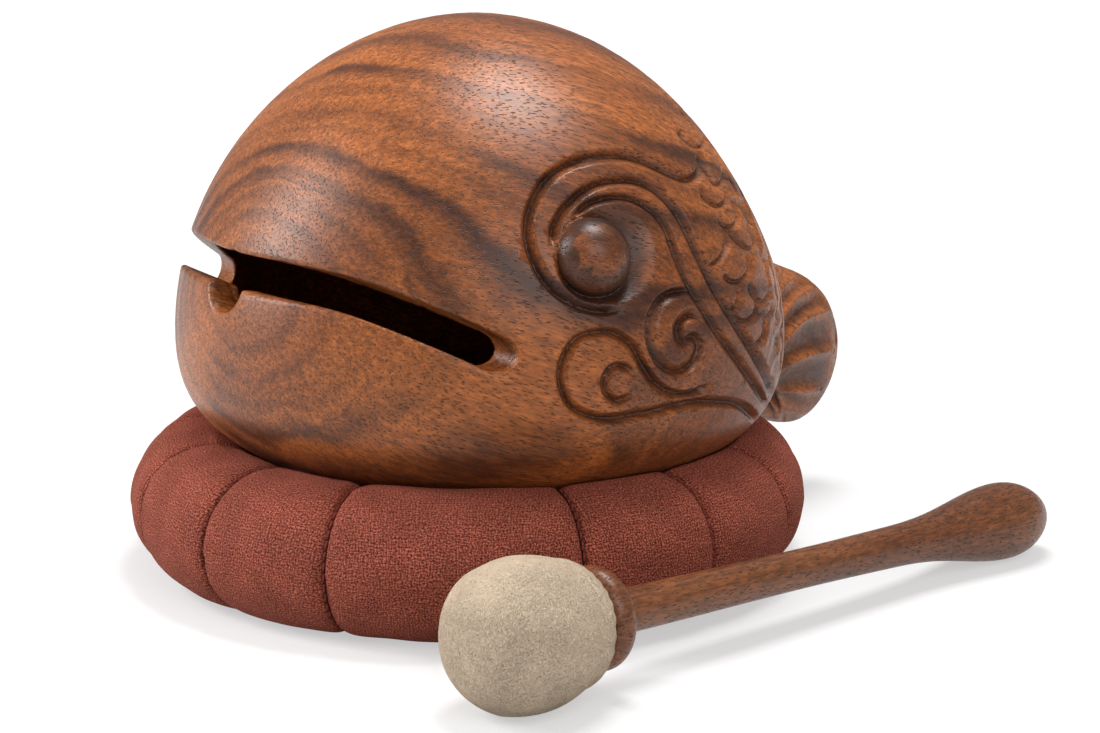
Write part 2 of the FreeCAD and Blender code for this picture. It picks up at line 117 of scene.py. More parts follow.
def camera_frame():
    """The camera's place in ring-centred millimetres, and its back, right and up directions."""
    turn, rise = math.radians(CAMERA_AZIMUTH), math.radians(CAMERA_ELEVATION)
    back = np.array([math.sin(turn) * math.cos(rise), -math.cos(turn) * math.cos(rise), math.sin(rise)])
    right = np.array([math.cos(turn), math.sin(turn), 0.0])
    up = np.cross(back, right)
    across = (AIM_PX - PHOTO_W / 2) / LENS_PX
    above = (PHOTO_H / 2 - AIM_PY) / LENS_PX
    place = np.array([0, 0, AIM_HEIGHT]) - CAMERA_DISTANCE * (across * right + above * up - back)
    return place, back, right, up


# ---------------------------------------------------------------- the fish's carved solid

def smooth_line(xs, ys, at, flat_start=True):
    """Cubic spline through points, level at its start if asked, free at its end."""
    xs, ys = np.asarray(xs, float), np.asarray(ys, float)
    count = len(xs)
    step = np.diff(xs)
    slope = np.diff(ys) / step
    rows, right = np.zeros((count, count)), np.zeros(count)
    rows[0, 0] = 1
    if flat_start:
        rows[0, 0], rows[0, 1], right[0] = 2 * step[0], step[0], 6 * slope[0]
    rows[-1, -1] = 1
    for i in range(1, count - 1):
        rows[i, i - 1:i + 2] = step[i - 1], 2 * (step[i - 1] + step[i]), step[i]
        right[i] = 6 * (slope[i] - slope[i - 1])
    bend = np.linalg.solve(rows, right)
    k = np.clip(np.searchsorted(xs, at) - 1, 0, count - 2)
    u, v = at - xs[k], xs[k + 1] - at
    cubic = (bend[k] * v ** 3 + bend[k + 1] * u ** 3) / (6 * step[k])
    before = (ys[k] / step[k] - bend[k] * step[k] / 6) * v
    return cubic + before + (ys[k + 1] / step[k] - bend[k + 1] * step[k] / 6) * u


def rounded(share, power):
    """Height of a rounded outline at a share of its reach."""
    return (1 - share ** power) ** (1 / power)


def with_slopes(x, *lines):
    """Lines over x, with their slopes."""
    return x, lines, [np.gradient(line, x) for line in lines]


def body_profile():
    """Half width, waist, top and bottom of the body's sections."""
    x = np.arange(BODY_OFFSET - NOSE_REACH * NOSE_CAP_SHARE, BODY_OFFSET + TAIL_REACH + 0.1, SECTION_STEP)
    ahead = np.clip((BODY_OFFSET - x) / NOSE_REACH, 0, 1)
    wide = HALF_WIDTH * rounded(ahead, PLAN_POWER)
    waist = np.full_like(x, WAIST_HEIGHT)
    top = WAIST_HEIGHT + CROWN_RISE * rounded(ahead, CROWN_POWER)
    low = WAIST_HEIGHT - BELLY_DROP * rounded(ahead, BELLY_POWER)
    height = CROWN_RISE + BELLY_DROP
    rows = np.array([(0, 1, BELLY_DROP / height, 1, 0), *BACK_SHARES])
    along = BODY_OFFSET + TAIL_REACH * rows[:, 0]
    rear = x > BODY_OFFSET
    wide[rear] = smooth_line(along, HALF_WIDTH * rows[:, 1], x[rear])
    for line, column in ((waist, 2), (top, 3), (low, 4)):
        line[rear] = smooth_line(along, WAIST_HEIGHT - BELLY_DROP + height * rows[:, column], x[rear])
    return with_slopes(x, wide, waist, top, low)


def chamber_profile():
    """The hollow inside, one wall in from the front and flanks."""
    front, back = NOSE_REACH - WALL, CHAMBER_BACK_REACH - WALL
    x = np.arange(BODY_OFFSET - front * CHAMBER_SHARE, BODY_OFFSET + back * CHAMBER_SHARE, SECTION_STEP)
    share = np.abs(BODY_OFFSET - x) / np.where(x < BODY_OFFSET, front, back)
    wide = (HALF_WIDTH - WALL) * rounded(share, PLAN_POWER)
    top = WAIST_HEIGHT + (CROWN_RISE - WALL) * rounded(share, CROWN_POWER)
    low = WAIST_HEIGHT - (BELLY_DROP - WALL) * rounded(share, BELLY_POWER)
    return with_slopes(x, wide, np.full_like(x, WAIST_HEIGHT), top, low)


def form_distance(profile, points):
    """Distance to a form made of rounded sections, near its surface, and the way out of it."""
    line_x, lines, slopes = profile
    x, y, z = points[..., 0], points[..., 1], points[..., 2]
    place = np.clip((x - line_x[0]) / (line_x[1] - line_x[0]), 0, len(line_x) - 1.001)
    i = place.astype(int)
    share = place - i

    def read(line):
        return line[i] * (1 - share) + line[i + 1] * share

    wide, waist, top, low = map(read, lines)
    d_wide, d_waist, d_top, d_low = map(read, slopes)
    above = z >= waist
    side = np.where(above, 1.0, -1.0)
    reach = np.where(above, top - waist, waist - low)
    d_reach = np.where(above, d_top - d_waist, d_waist - d_low)
    power = np.where(above, CROWN_POWER, BELLY_POWER)
    across, up = np.abs(y) / wide, np.abs(z - waist) / reach
    level = np.maximum((across ** power + up ** power) ** (1 / power), 1e-4)
    k_across, k_up = (across / level) ** (power - 1), (up / level) ** (power - 1)
    slope = np.stack([
        -k_across * across * d_wide / wide - k_up * (side * d_waist + up * d_reach) / reach,
        k_across * np.sign(y) / wide,
        k_up * side / reach,
    ], -1)
    size = np.linalg.norm(slope, axis=-1)
    return (level - 1) / size, slope / size[..., None]


def slit_distance(points):
    """Distance to the saw cut, alike on both flanks: a band along a line, an arc and a slanted line."""
    turn, drop = math.radians(SLIT_TURN), math.radians(SLIT_DROP_ANGLE)
    u = points[..., 0] * math.cos(turn) - np.abs(points[..., 1]) * math.sin(turn)
    z = points[..., 2]
    level = WAIST_HEIGHT + SLIT_RISE
    corner = BODY_OFFSET - SLIT_BEND_REACH
    bend_u, bend_z = corner - SLIT_BEND_RADIUS * math.tan(drop / 2), level - SLIT_BEND_RADIUS
    end_u = BODY_OFFSET - SLIT_END_REACH
    end_z = level - (end_u - corner) * math.tan(drop)
    angle = np.arctan2(u - bend_u, z - bend_z)
    arc = np.abs(np.hypot(u - bend_u, z - bend_z) - SLIT_BEND_RADIUS)
    past = np.minimum((u - end_u) * math.cos(drop) - (z - end_z) * math.sin(drop), 0)
    slant = np.hypot(u - end_u - past * math.cos(drop), z - end_z + past * math.sin(drop))
    middle = np.where(u < bend_u, np.abs(z - level), np.where((angle < drop) & (z > bend_z), arc, slant))
    return middle - SLIT_HEIGHT / 2


def soft_max(a, b, size):
    """Greater of two distances, with the edge between them rounded."""
    near = np.maximum(size - np.abs(a - b), 0) / size
    return np.maximum(a, b) + near * near * size / 4


def eye_place():
    """Middle of the near eyeball."""
    forward = NOSE_REACH - EYE_BEHIND_FRONT
    share = forward / NOSE_REACH
    level = EYE_RISE / (CROWN_RISE * rounded(share, CROWN_POWER))
    flank = HALF_WIDTH * rounded(share, PLAN_POWER) * rounded(level, CROWN_POWER)
    return np.array([BODY_OFFSET - forward, -(flank - EYE_SINK), WAIST_HEIGHT + EYE_RISE])


# Carved lines of the near flank, in the photograph's pixels; the far flank mirrors them
EYE_SCROLL = (
    (621, 311), (599, 312), (579, 307), (559, 296), (543.5, 280), (532, 260), (526, 241), (526, 219),
    (532, 199), (543.5, 179), (559, 166), (579, 157), (599, 153), (623, 153), (642, 157), (658, 164),
    (674, 171.5), (686, 176.5), (695, 174.5), (701, 167), (701, 157), (696, 146),
)
BROW_LINE = (
    (553, 246), (552, 229), (559, 213), (569, 201), (583, 189), (599, 181), (619, 178), (638, 179),
    (656, 187), (670, 199), (682, 215), (692, 235), (702, 256), (711.5, 276), (721, 294), (737, 320),
    (755, 349), (769, 375), (776, 396), (781, 416),
)
LID_LINE = (
    (573, 218), (583, 206), (599, 198), (619, 195), (638, 199), (656, 211), (668, 227), (674, 243),
    (681, 262), (692, 286), (704, 306), (720, 332), (738, 357), (756, 383), (770, 408), (776, 420),
)
UPPER_CURL = (
    (700, 296), (693, 290), (680, 290), (667, 294), (657, 303.5), (651, 316), (649, 329), (650, 343),
    (655, 356.5), (663, 367), (675, 373), (686.5, 371), (697, 362), (702, 349), (701, 341), (696, 336),
    (690, 338), (685.5, 342), (682, 337), (681, 328), (684.5, 321), (692, 316), (700, 318), (705, 325),
)
LOWER_SCROLL = (
    (712, 384), (706, 387), (695, 392), (680, 394), (668, 390), (657, 382), (648, 370), (642, 359),
    (635.5, 347), (626, 338), (614, 332), (598, 331.5), (582, 335), (571, 344), (563, 358), (560, 370),
    (560, 384), (564, 397), (573, 410), (588, 418), (604, 421), (621, 420), (642, 416), (662, 412),
    (682, 406.5), (703, 403.5), (720, 404), (737, 406), (749, 414), (758, 426),
)
SMALL_CURL = (
    (634, 376), (630, 369), (621, 365), (611, 368), (605, 377), (604, 386), (607, 395), (616, 402),
    (626, 400), (634, 393),
)
# Each line with its width in pixels on the left and right of the way it runs, and its depth in millimetres
CARVED_LINES = (
    (EYE_SCROLL, 4.0, 10.0, 2.4),
    (BROW_LINE, 3.8, 8.5, 2.3),
    (LID_LINE, 3.6, 7.5, 2.1),
    (UPPER_CURL, 9.0, 4.0, 2.3),
    (LOWER_SCROLL, 8.5, 4.0, 2.3),
    (SMALL_CURL, 7.0, 4.0, 2.0),
)
# Free edges of the scales, each from its right side down and round to its left
SCALE_EDGES = (
    ((702, 134), (704.5, 141), (700, 144.5), (691, 141), (682, 131), (674, 120), (668, 107), (665, 97)),
    ((722, 167), (723.5, 174), (722, 181), (717, 182), (711, 172), (703, 160), (700, 149)),
    ((723, 186), (726.5, 194), (725, 201), (719.5, 204), (712, 201), (706, 195), (702, 188)),
    ((730, 194), (736.5, 208), (737, 219), (732, 225), (724, 222), (720, 214)),
    ((722, 223), (726.5, 233), (726.5, 244), (722, 255), (715, 262), (708, 264.5)),
    ((737, 197), (745, 211), (750, 223), (749, 231)),
    ((744, 222), (751, 232), (754.5, 240), (753.5, 245.5), (748, 246), (741, 241), (734, 233), (731, 226)),
    ((744, 250), (749, 260), (748.5, 270), (744, 277), (738, 280.5), (731, 279), (724, 271)),
    ((757, 248), (763, 258), (766, 262), (765, 267)),
    ((733, 284), (738, 293), (738, 301), (733.5, 308), (729, 306)),
    ((756, 276), (765, 286), (769, 293), (766.5, 299), (761, 300), (755, 292), (750, 281)),
    ((753, 297), (756.5, 305), (754, 314), (747.5, 319.5), (740, 319), (736, 314)),
    ((766, 300), (772, 305), (771.5, 312), (766, 312)),
    ((760, 308), (764.5, 318), (764.5, 330), (760.5, 340), (754, 342.5)),
)
SCALE_OUTER_PX, SCALE_INNER_PX, SCALE_CUT = 6.0, 1.8, 1.7
# Each cut runs out shallow and narrow over this length at its ends
LINE_TAPER_PX, SCALE_TAPER_PX = 14.0, 8.0
TAPER_START, TAPER_WIDTH, GROOVE_POWER = 0.15, 0.45, 0.9
# Ridges of the tail, and where its flutes start and how far they reach from a ridge
TAIL_RIDGES = (
    ((765, 350), (771, 318), (782, 290), (795, 276)),
    ((766, 362), (778, 326), (796, 300), (812, 288), (826, 283)),
    ((768, 374), (784, 345), (805, 321), (824, 312), (842, 308)),
    ((772, 384), (788, 367), (808, 357), (826, 352), (846, 349)),
    ((774, 394), (790, 392), (808, 392), (824, 389), (842, 381)),
    ((776, 404), (790, 410), (804, 415), (820, 416)),
)
TAIL_START_PX = (784, 779, 771, 765, 764, 768, 775, 780, 786)
TAIL_START_PY = (240, 262, 300, 340, 360, 388, 412, 430, 450)
FLUTE_REACH_PX, FLUTE_HALF_PX, FLUTE_POWER, FLUTE_START_PX = 24.0, 12.0, 1.7, 14.0
EYE_PX, EYE_PY, EYE_EDGE_PX = 597.0, 256.5, 38.5
SOCKET_PX, SOCKET_PY, SOCKET_EDGE_PX = 605.5, 256.5, 50.5
SOCKET_DEPTH, FLUTE_DEPTH = 3.4, 2.2
# The cuts fade where the surface turns out of sight, more gently on the tail
FACING_EDGE, FLANK_FADE, TAIL_FADE, TAIL_FADE_PX = 0.05, 0.12, 0.5, 785.0
RELIEF_REACH = 4.0
MAP_LEFT, MAP_TOP, MAP_RIGHT, MAP_BOTTOM, MAP_STEP = 505.0, 130.0, 860.0, 445.0, 0.5


def through(points, step=2.0):
    """Points close together on the smooth line through a few."""
    given = np.asarray(points, float)
    given = np.vstack([2 * given[0] - given[1], given, 2 * given[-1] - given[-2]])
    parts = []
    for i in range(1, len(given) - 2):
        a, b, c, d = given[i - 1:i + 3]
        count = max(2, int(np.ceil(np.linalg.norm(c - b) / step)))
        t = np.arange(count)[:, None] / count
        cubic = (2 * a - 5 * b + 4 * c - d) * t ** 2 + (3 * b - a - 3 * c + d) * t ** 3
        parts.append((2 * b + (c - a) * t + cubic) / 2)
    return np.vstack([*parts, given[-2]])


def map_grid():
    """The map's pixel columns, and its rows as a column."""
    across = np.arange(MAP_LEFT, MAP_RIGHT + MAP_STEP, MAP_STEP)
    down = np.arange(MAP_TOP, MAP_BOTTOM + MAP_STEP, MAP_STEP)
    return across, down[:, None]


def line_field(points, reach):
    """Over the map: distance to a line, its side, how far along it the nearest point is, and its length."""
    across, down = map_grid()
    near = np.full((len(down), len(across)), 1e3)
    side, along = np.zeros_like(near), np.zeros_like(near)
    line = through(points)
    run = 0.0
    for a, b in zip(line[:-1], line[1:]):
        way = b - a
        length = math.hypot(*way)
        low, high = np.minimum(a, b) - reach, np.maximum(a, b) + reach
        cols = np.flatnonzero((across > low[0]) & (across < high[0]))
        rows = np.flatnonzero((down[:, 0] > low[1]) & (down[:, 0] < high[1]))
        if len(cols) and len(rows):
            patch = np.s_[rows[0]:rows[-1] + 1, cols[0]:cols[-1] + 1]
            gx, gy = across[patch[1]] - a[0], down[patch[0]] - a[1]
            t = np.clip((gx * way[0] + gy * way[1]) / length ** 2, 0, 1)
            gap = np.hypot(gx - t * way[0], gy - t * way[1])
            closer = gap < near[patch]
            near[patch] = np.where(closer, gap, near[patch])
            side[patch] = np.where(closer, way[0] * gy - way[1] * gx, side[patch])
            along[patch] = np.where(closer, run + t * length, along[patch])
        run += length
    return near, side, along, run


def carving_map():
    """Depth of the carving in millimetres, over the photograph's pixels."""
    across, down = map_grid()
    depth = np.zeros((len(down), across.size))
    cuts = [(*line, LINE_TAPER_PX) for line in CARVED_LINES]
    cuts += [(points, SCALE_OUTER_PX, SCALE_INNER_PX, SCALE_CUT, SCALE_TAPER_PX) for points in SCALE_EDGES]
    for points, left, right, deep, ending in cuts:
        near, side, along, run = line_field(points, max(left, right) + 2)
        taper = np.clip(np.minimum(along, run - along) / ending + TAPER_START, 0, 1)
        width = np.where(side > 0, right, left) * (TAPER_WIDTH + (1 - TAPER_WIDTH) * taper)
        depth = np.maximum(depth, deep * taper * np.clip(1 - near / width, 0, 1) ** GROOVE_POWER)
    # The socket is deepest at the ball and comes up to a circle set off from it
    gap_x, gap_y = across - EYE_PX, down - EYE_PY
    far = np.maximum(np.hypot(gap_x, gap_y), 1e-3)
    off_x, off_y = EYE_PX - SOCKET_PX, EYE_PY - SOCKET_PY
    dot = (gap_x * off_x + gap_y * off_y) / far
    rim = np.sqrt(np.maximum(dot ** 2 - off_x ** 2 - off_y ** 2 + SOCKET_EDGE_PX ** 2, 0)) - dot
    share = np.clip((far - EYE_EDGE_PX + 2) / (rim - EYE_EDGE_PX + 2), 0, 1)
    depth = np.maximum(depth, SOCKET_DEPTH * (1 - share))
    # The tail has hollow flutes between its ridges
    ridge = np.min([line_field(points, FLUTE_REACH_PX)[0] for points in TAIL_RIDGES], axis=0)
    root = across - np.interp(down, TAIL_START_PY, TAIL_START_PX)
    hollow = 1 - (1 - np.clip(ridge / FLUTE_HALF_PX, 0, 1)) ** FLUTE_POWER
    flute = FLUTE_DEPTH * hollow * np.clip((root - 1) / FLUTE_START_PX, 0, 1)
    return np.maximum(depth, np.where(root > 0, flute, 0))


def read_map(table, px, py):
    """The map's value between its points, zero outside it."""
    u = np.clip((px - MAP_LEFT) / MAP_STEP, 0, table.shape[1] - 1.001)
    v = np.clip((py - MAP_TOP) / MAP_STEP, 0, table.shape[0] - 1.001)
    i, j = u.astype(int), v.astype(int)
    f, g = u - i, v - j
    inside = (px > MAP_LEFT) & (px < MAP_RIGHT) & (py > MAP_TOP) & (py < MAP_BOTTOM)
    upper = table[j, i] * (1 - f) + table[j, i + 1] * f
    lower = table[j + 1, i] * (1 - f) + table[j + 1, i + 1] * f
    return np.where(inside, upper * (1 - g) + lower * g, 0)


# Rows of scales that shrink towards the root of the tail, and where they begin at each angle from the
# crown. They lie where the flank turns out of the photograph's sight; the rest are the single cuts above
SCALE_COLUMNS, SCALE_DEPTH, SCALE_CHAMFER = 66, 1.9, 2.4
SCALE_LENGTH, SCALE_GROWTH, SCALE_STRAIGHT, SCALE_HALF_WIDTH = 2.0, 0.062, 0.35, 0.56
TAIL_ROOT_X, TAIL_ROOT_Z = 100.0, 50.0
SCALES_END_X, SCALES_END_ANGLE = 99.0, 84.0
SCALES_FACING, SCALES_BLEND = 0.30, 0.1
SCALES_FROM_ANGLE = (0, 15, 27, 35, 42, 49, 55, 61, 65, 70, 73, 76, 78, 84)
SCALES_FROM_X = (42, 40, 37, 32, 35, 29, 31.5, 24, 24, 28, 33, 39, 43, 60)


def scale_depth(points):
    """Depth of the scales: each free edge stands over a chamfered hollow on its tail side."""
    x, y, z = points[..., 0], np.abs(points[..., 1]), points[..., 2]
    angle = np.degrees(np.arctan2(y, z - TAIL_ROOT_Z))
    out = np.hypot(y, z - TAIL_ROOT_Z)
    length = SCALE_LENGTH + SCALE_GROWTH * np.hypot(TAIL_ROOT_X - x, out)
    row = -np.log(length) / SCALE_GROWTH
    column = angle / 360 * SCALE_COLUMNS
    width = 2 * np.pi * out / SCALE_COLUMNS
    first = np.floor(row)
    gap = np.full(x.shape, 99.0)
    free = np.ones(x.shape, bool)
    for back in (2, 1, 0, -1):
        scale = first - back
        shifted = column - 0.5 * np.mod(scale, 2)
        aside = (shifted - np.round(shifted)) * width
        ahead = np.maximum((row - scale - SCALE_STRAIGHT) * length, 0)
        edge = np.hypot(aside, ahead) - SCALE_HALF_WIDTH * width
        gap = np.where(free & (edge > 0), np.minimum(gap, edge), gap)
        free &= edge > 0
    begin = np.interp(angle, SCALES_FROM_ANGLE, SCALES_FROM_X)
    kept = (angle < SCALES_END_ANGLE) & (x < SCALES_END_X) & (z > TAIL_ROOT_Z)
    depth = SCALE_DEPTH * np.clip(1 - gap / SCALE_CHAMFER, 0, 1) * np.clip(x - begin, 0, 1)
    return np.where(kept, depth, 0)


body = body_profile()
chamber = chamber_profile()
camera_place, camera_back, camera_right, camera_up = camera_frame()
carving = carving_map()
eyeball = eye_place()


def near_flip(points):
    """What points or directions are multiplied by to come to the flank that the camera sees."""
    return np.where(points[..., 1:2] > 0, (1, -1, 1), (1, 1, 1))


def relief(points, outward):
    """Carved depth at points of the fish's surface, the same on both flanks."""
    flip = near_flip(points)
    sight = camera_place - points * flip
    facing = (outward * flip * sight).sum(-1) / np.linalg.norm(sight, axis=-1)
    depth = (sight * camera_back).sum(-1)
    px = PHOTO_W / 2 - LENS_PX * (sight * camera_right).sum(-1) / depth
    py = PHOTO_H / 2 + LENS_PX * (sight * camera_up).sum(-1) / depth
    fade = np.where(px > TAIL_FADE_PX, TAIL_FADE, FLANK_FADE)
    cut = read_map(carving, px, py) * np.clip((facing - FACING_EDGE) / fade, 0, 1)
    hidden = np.clip((SCALES_FACING - facing) / SCALES_BLEND, 0, 1)
    return np.maximum(cut, scale_depth(points) * hidden)


def fish_solid(points, carved=True):
    """Distance to the finished fish: below zero in the wood."""
    gap, outward = form_distance(body, points)
    if carved:
        near = np.abs(gap) < RELIEF_REACH
        if near.any():
            gap[near] += relief(points[near] - outward[near] * gap[near][:, None], outward[near])
    x = points[..., 0]
    gap = np.minimum(gap, np.linalg.norm(points * near_flip(points) - eyeball, axis=-1) - EYE_DIAMETER / 2)
    gap = np.maximum(gap, x - body[0][-1])
    gap = soft_max(gap, body[0][0] - x, NOSE_ROUND)
    hollow = form_distance(chamber, points)[0]
    hollow = np.maximum(hollow, np.maximum(chamber[0][0] - x, x - chamber[0][-1]))
    mouth_height = WAIST_HEIGHT + SLIT_RISE + (SLIT_HEIGHT - MOUTH_DIAMETER) / 2
    bore = np.hypot(points[..., 1], points[..., 2] - mouth_height) - MOUTH_DIAMETER / 2
    bore = np.maximum(bore, x - body[0][0] - MOUTH_DEPTH)
    opened = np.minimum(slit_distance(points), bore)
    return soft_max(np.maximum(gap, -hollow), -opened, LIP_ROUND if carved else PLAIN_LIP)


def fish_mesh():
    """Points, faces and normals of the carved fish, from distances on a fine grid near its surface."""
    low = np.array(FISH_LOW)
    span = FISH_VOXEL * FISH_BLOCK
    blocks = np.ceil((np.array(FISH_HIGH) - low) / span).astype(int)
    grid = np.full(blocks * FISH_BLOCK, BAND, np.float32)
    places = np.stack(np.meshgrid(*map(np.arange, blocks), indexing="ij"), -1).reshape(-1, 3)
    rough = fish_solid(low + (places + 0.5) * span, False)
    reach = span * BLOCK_HALF_DIAGONAL + BAND_SPARE

    def block(place):
        return tuple(slice(k * FISH_BLOCK, (k + 1) * FISH_BLOCK) for k in place)

    for place in places[rough <= -reach]:
        grid[block(place)] = -BAND
    offsets = np.arange(FISH_BLOCK) * FISH_VOXEL
    local = np.stack(np.meshgrid(offsets, offsets, offsets, indexing="ij"), -1).reshape(-1, 3)
    crossed = places[np.abs(rough) < reach]
    for start in range(0, len(crossed), BLOCKS_AT_ONCE):
        part = crossed[start:start + BLOCKS_AT_ONCE]
        points = (low + part * span)[:, None, :] + local
        gaps = np.clip(fish_solid(points.reshape(-1, 3)), -BAND, BAND)
        for place, values in zip(part, gaps.reshape(len(part), FISH_BLOCK, FISH_BLOCK, FISH_BLOCK)):
            grid[block(place)] = values
    volume = openvdb.FloatGrid(BAND)
    volume.copyFromArray(grid)
    volume.transform = openvdb.createLinearTransform(voxelSize=FISH_VOXEL)
    points, triangles, quads = volume.convertToPolygons(isovalue=0.0, adaptivity=FISH_FLATNESS)
    points = points.astype(float) + low
    normals = np.zeros_like(points)
    for axis in range(3):
        step = np.eye(3)[axis] * FISH_VOXEL / 2
        normals[:, axis] = fish_solid(points + step) - fish_solid(points - step)
    normals /= np.maximum(np.linalg.norm(normals, axis=1), 1e-9)[:, None]
    return points, [*triangles.tolist(), *quads.tolist()], normals


# ---------------------------------------------------------------- making pieces

def put_in(name, data):
    """An object of the scene with this mesh, lamp or camera."""
    made = bpy.data.objects.new(name, data)
    bpy.context.scene.collection.objects.link(made)
    return made


def new_piece(name, points, faces, body_name, replaced, material, corner_mm=None):
    """A piece in the frame's metres, with its cloth coordinates in millimetres if it has them."""
    mesh = bpy.data.meshes.new(name)
    mesh.from_pydata(placed(points).tolist(), [], faces)
    mesh.polygons.foreach_set("use_smooth", [True] * len(mesh.polygons))
    if corner_mm is not None:
        flat = mesh.uv_layers.new(name="cloth_mm").data
        flat.foreach_set("uv", np.asarray(corner_mm, np.float32).ravel())
    mesh.materials.append(material)
    piece = put_in(name, mesh)
    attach(piece, body_name)
    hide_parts(*replaced)
    return piece


def point_value(piece, name, values):
    """A value at each point of a piece, for its material to read."""
    made = piece.data.attributes.new(name, "FLOAT", "POINT")
    made.data.foreach_set("value", np.asarray(values, np.float32))


def grid_faces(rows, columns, wrap_columns, start=0, wrap_rows=False):
    """Quads of a grid of points, and the corners that each quad would have if nothing wrapped."""
    down, along = (rows if wrap_rows else rows - 1), (columns if wrap_columns else columns - 1)
    i, j = np.meshgrid(np.arange(down), np.arange(along), indexing="ij")
    corners = [(i, j), (i + 1, j), (i + 1, j + 1), (i, j + 1)]
    quads = np.stack([start + (a % rows) * columns + b % columns for a, b in corners], -1).reshape(-1, 4)
    places = np.stack([np.stack([a, b], -1) for a, b in corners], -2).reshape(-1, 4, 2)
    return quads, places


def carved_fish(material):
    """The fish, with the depth of its carving at each point for the painted shade in the cuts."""
    points, faces, normals = fish_mesh()
    piece = new_piece("carved_fish", points, faces, "fish", ("fish_body",), material)
    gap, outward = form_distance(body, points)
    on_surface = points - outward * gap[:, None]
    point_value(piece, "carved", np.where(np.abs(gap) < RELIEF_REACH, relief(on_surface, outward), 0))
    piece.data.normals_split_custom_set_from_vertices(normals.tolist())


NOISE_CELLS = 64


def soft_noise(u, v, seed):
    """Smooth noise between -1 and 1 over a plane, one lump to a unit."""
    table = np.random.default_rng(seed).uniform(-1, 1, (NOISE_CELLS, NOISE_CELLS))
    i, j = np.floor(u).astype(int), np.floor(v).astype(int)
    f, g = u - i, v - j
    f, g = f * f * (3 - 2 * f), g * g * (3 - 2 * g)

    def at(a, b):
        return table[(i + a) % NOISE_CELLS, (j + b) % NOISE_CELLS]

    return (at(0, 0) * (1 - f) + at(1, 0) * f) * (1 - g) + (at(0, 1) * (1 - f) + at(1, 1) * f) * g


# ---------------------------------------------------------------- materials

def linear(colour):
    """Linear RGBA of a hex sRGB colour."""
    shares = [int(colour[k:k + 2], 16) / 255 for k in (1, 3, 5)]
    return tuple(s / 12.92 if s <= 0.04045 else ((s + 0.055) / 1.055) ** 2.4 for s in shares) + (1.0,)


def new_material(name):
    """A material with a bare principled surface, its node tree and that surface."""
    material = bpy.data.materials.new(name)
    material.use_nodes = True
    tree = material.node_tree
    return material, tree, tree.nodes["Principled BSDF"]


def add(tree, kind, *inputs, out=0, **settings):
    """Add a node, set it, and give its inputs in order: a socket is linked, None is left alone."""
    made = tree.nodes.new("ShaderNode" + kind)
    ramp = settings.pop("ramp", None)
    for name, value in settings.items():
        if name in made.inputs:
            made.inputs[name].default_value = value
        else:
            setattr(made, name, value)
    if ramp:
        while len(made.color_ramp.elements) < len(ramp):
            made.color_ramp.elements.new(0.5)
        for element, (place, colour) in zip(made.color_ramp.elements, ramp):
            element.position = place
            element.color = linear(colour)
    usable = [socket for socket in made.inputs if socket.enabled]
    for socket, value in zip(usable, inputs):
        if isinstance(value, bpy.types.NodeSocket):
            tree.links.new(value, socket)
        elif value is not None:
            socket.default_value = value
    return made.outputs[out]


def maths(tree, operation, *inputs):
    """One step of arithmetic."""
    return add(tree, "Math", *inputs, operation=operation)


def mixed(tree, share, first, second, blend="MIX"):
    """Two colours mixed by a share."""
    return add(tree, "Mix", share, first, second, data_type="RGBA", blend_type=blend, out=2)


def spread(tree, value, low_end, high_end, low_out=0.0, high_out=1.0):
    """A value's range mapped to another, held at its ends."""
    ends = (low_end, high_end, low_out, high_out)
    return add(tree, "MapRange", value, *ends, interpolation_type="SMOOTHSTEP")


def stretched(tree, vector, factors):
    """A pattern's coordinates, stretched along each axis."""
    return add(tree, "VectorMath", vector, factors, operation="MULTIPLY")


def varied(tree, colour, value, *ends):
    """A colour made darker and lighter as a value goes between its ends."""
    lift = spread(tree, value, *ends)
    return mixed(tree, 1.0, colour, add(tree, "CombineColor", lift, lift, lift), "MULTIPLY")


def drawn_in(tree, surface, colour, height, depth_mm, looks):
    """A surface's colour, its relief of some depth, and the plain values of its other sockets."""
    tree.links.new(colour, surface.inputs["Base Color"])
    for name, value in looks.items():
        surface.inputs[name].default_value = value
    bump = add(tree, "Bump", Strength=1.0, Distance=depth_mm / 1000)
    tree.links.new(height, bump.node.inputs["Height"])
    tree.links.new(bump, surface.inputs["Normal"])


# Pith of each piece's log: a point on it, its turn and dip, and the roll and stretch of its rings
FISH_LOG = ((-93.7, -0.4, 93.0), -0.47, 0.32, 0.43, 1.22)
HANDLE_LOG = ((-60, -105, 34), math.radians(MALLET_TURN), 0.04, 0.0, 1.6)
# Dark rings: distance from the pith, widths of the soft inner and the sharper outer edge, and strength
FISH_RINGS = (
    (14.0, 4.0, 2.0, 0.45), (21.0, 3.0, 2.0, 0.5), (27.0, 3.0, 1.8, 0.45), (33.0, 4.5, 2.4, 0.85),
    (40.0, 4.5, 2.4, 1.0), (46.0, 2.5, 1.5, 0.4), (51.5, 4.5, 2.6, 0.85), (58.5, 3.5, 2.0, 0.45),
    (66.0, 6.5, 3.0, 0.95), (79.0, 7.0, 4.0, 0.7), (92.0, 6.0, 3.0, 0.6), (108.0, 8.0, 4.0, 0.7),
    (126.0, 8.0, 4.0, 0.6),
)
HANDLE_RINGS = ((24.0, 2.0, 1.0, 0.6), (29.0, 2.0, 1.0, 0.5), (34.0, 2.0, 1.0, 0.7), (40.0, 2.0, 1.0, 0.5))
# How far the rings wander, and lumps to a millimetre of their wander, fading, streaks and the wood's clouds
RING_DRIFT, DRIFT_SCALE, FADE_SCALE, STREAK_SCALE, CLOUD_SCALE = 13.0, 0.035, 0.03, 0.42, 0.022
ALONG_LOG = (0.5, 1, 1)
FIBRES, FLECKS, FLECK_SCALE, CLOUDS = (0.10, 1.4, 1.4), (0.30, 1.0, 1.0), 0.8, (0.4, 1, 1)
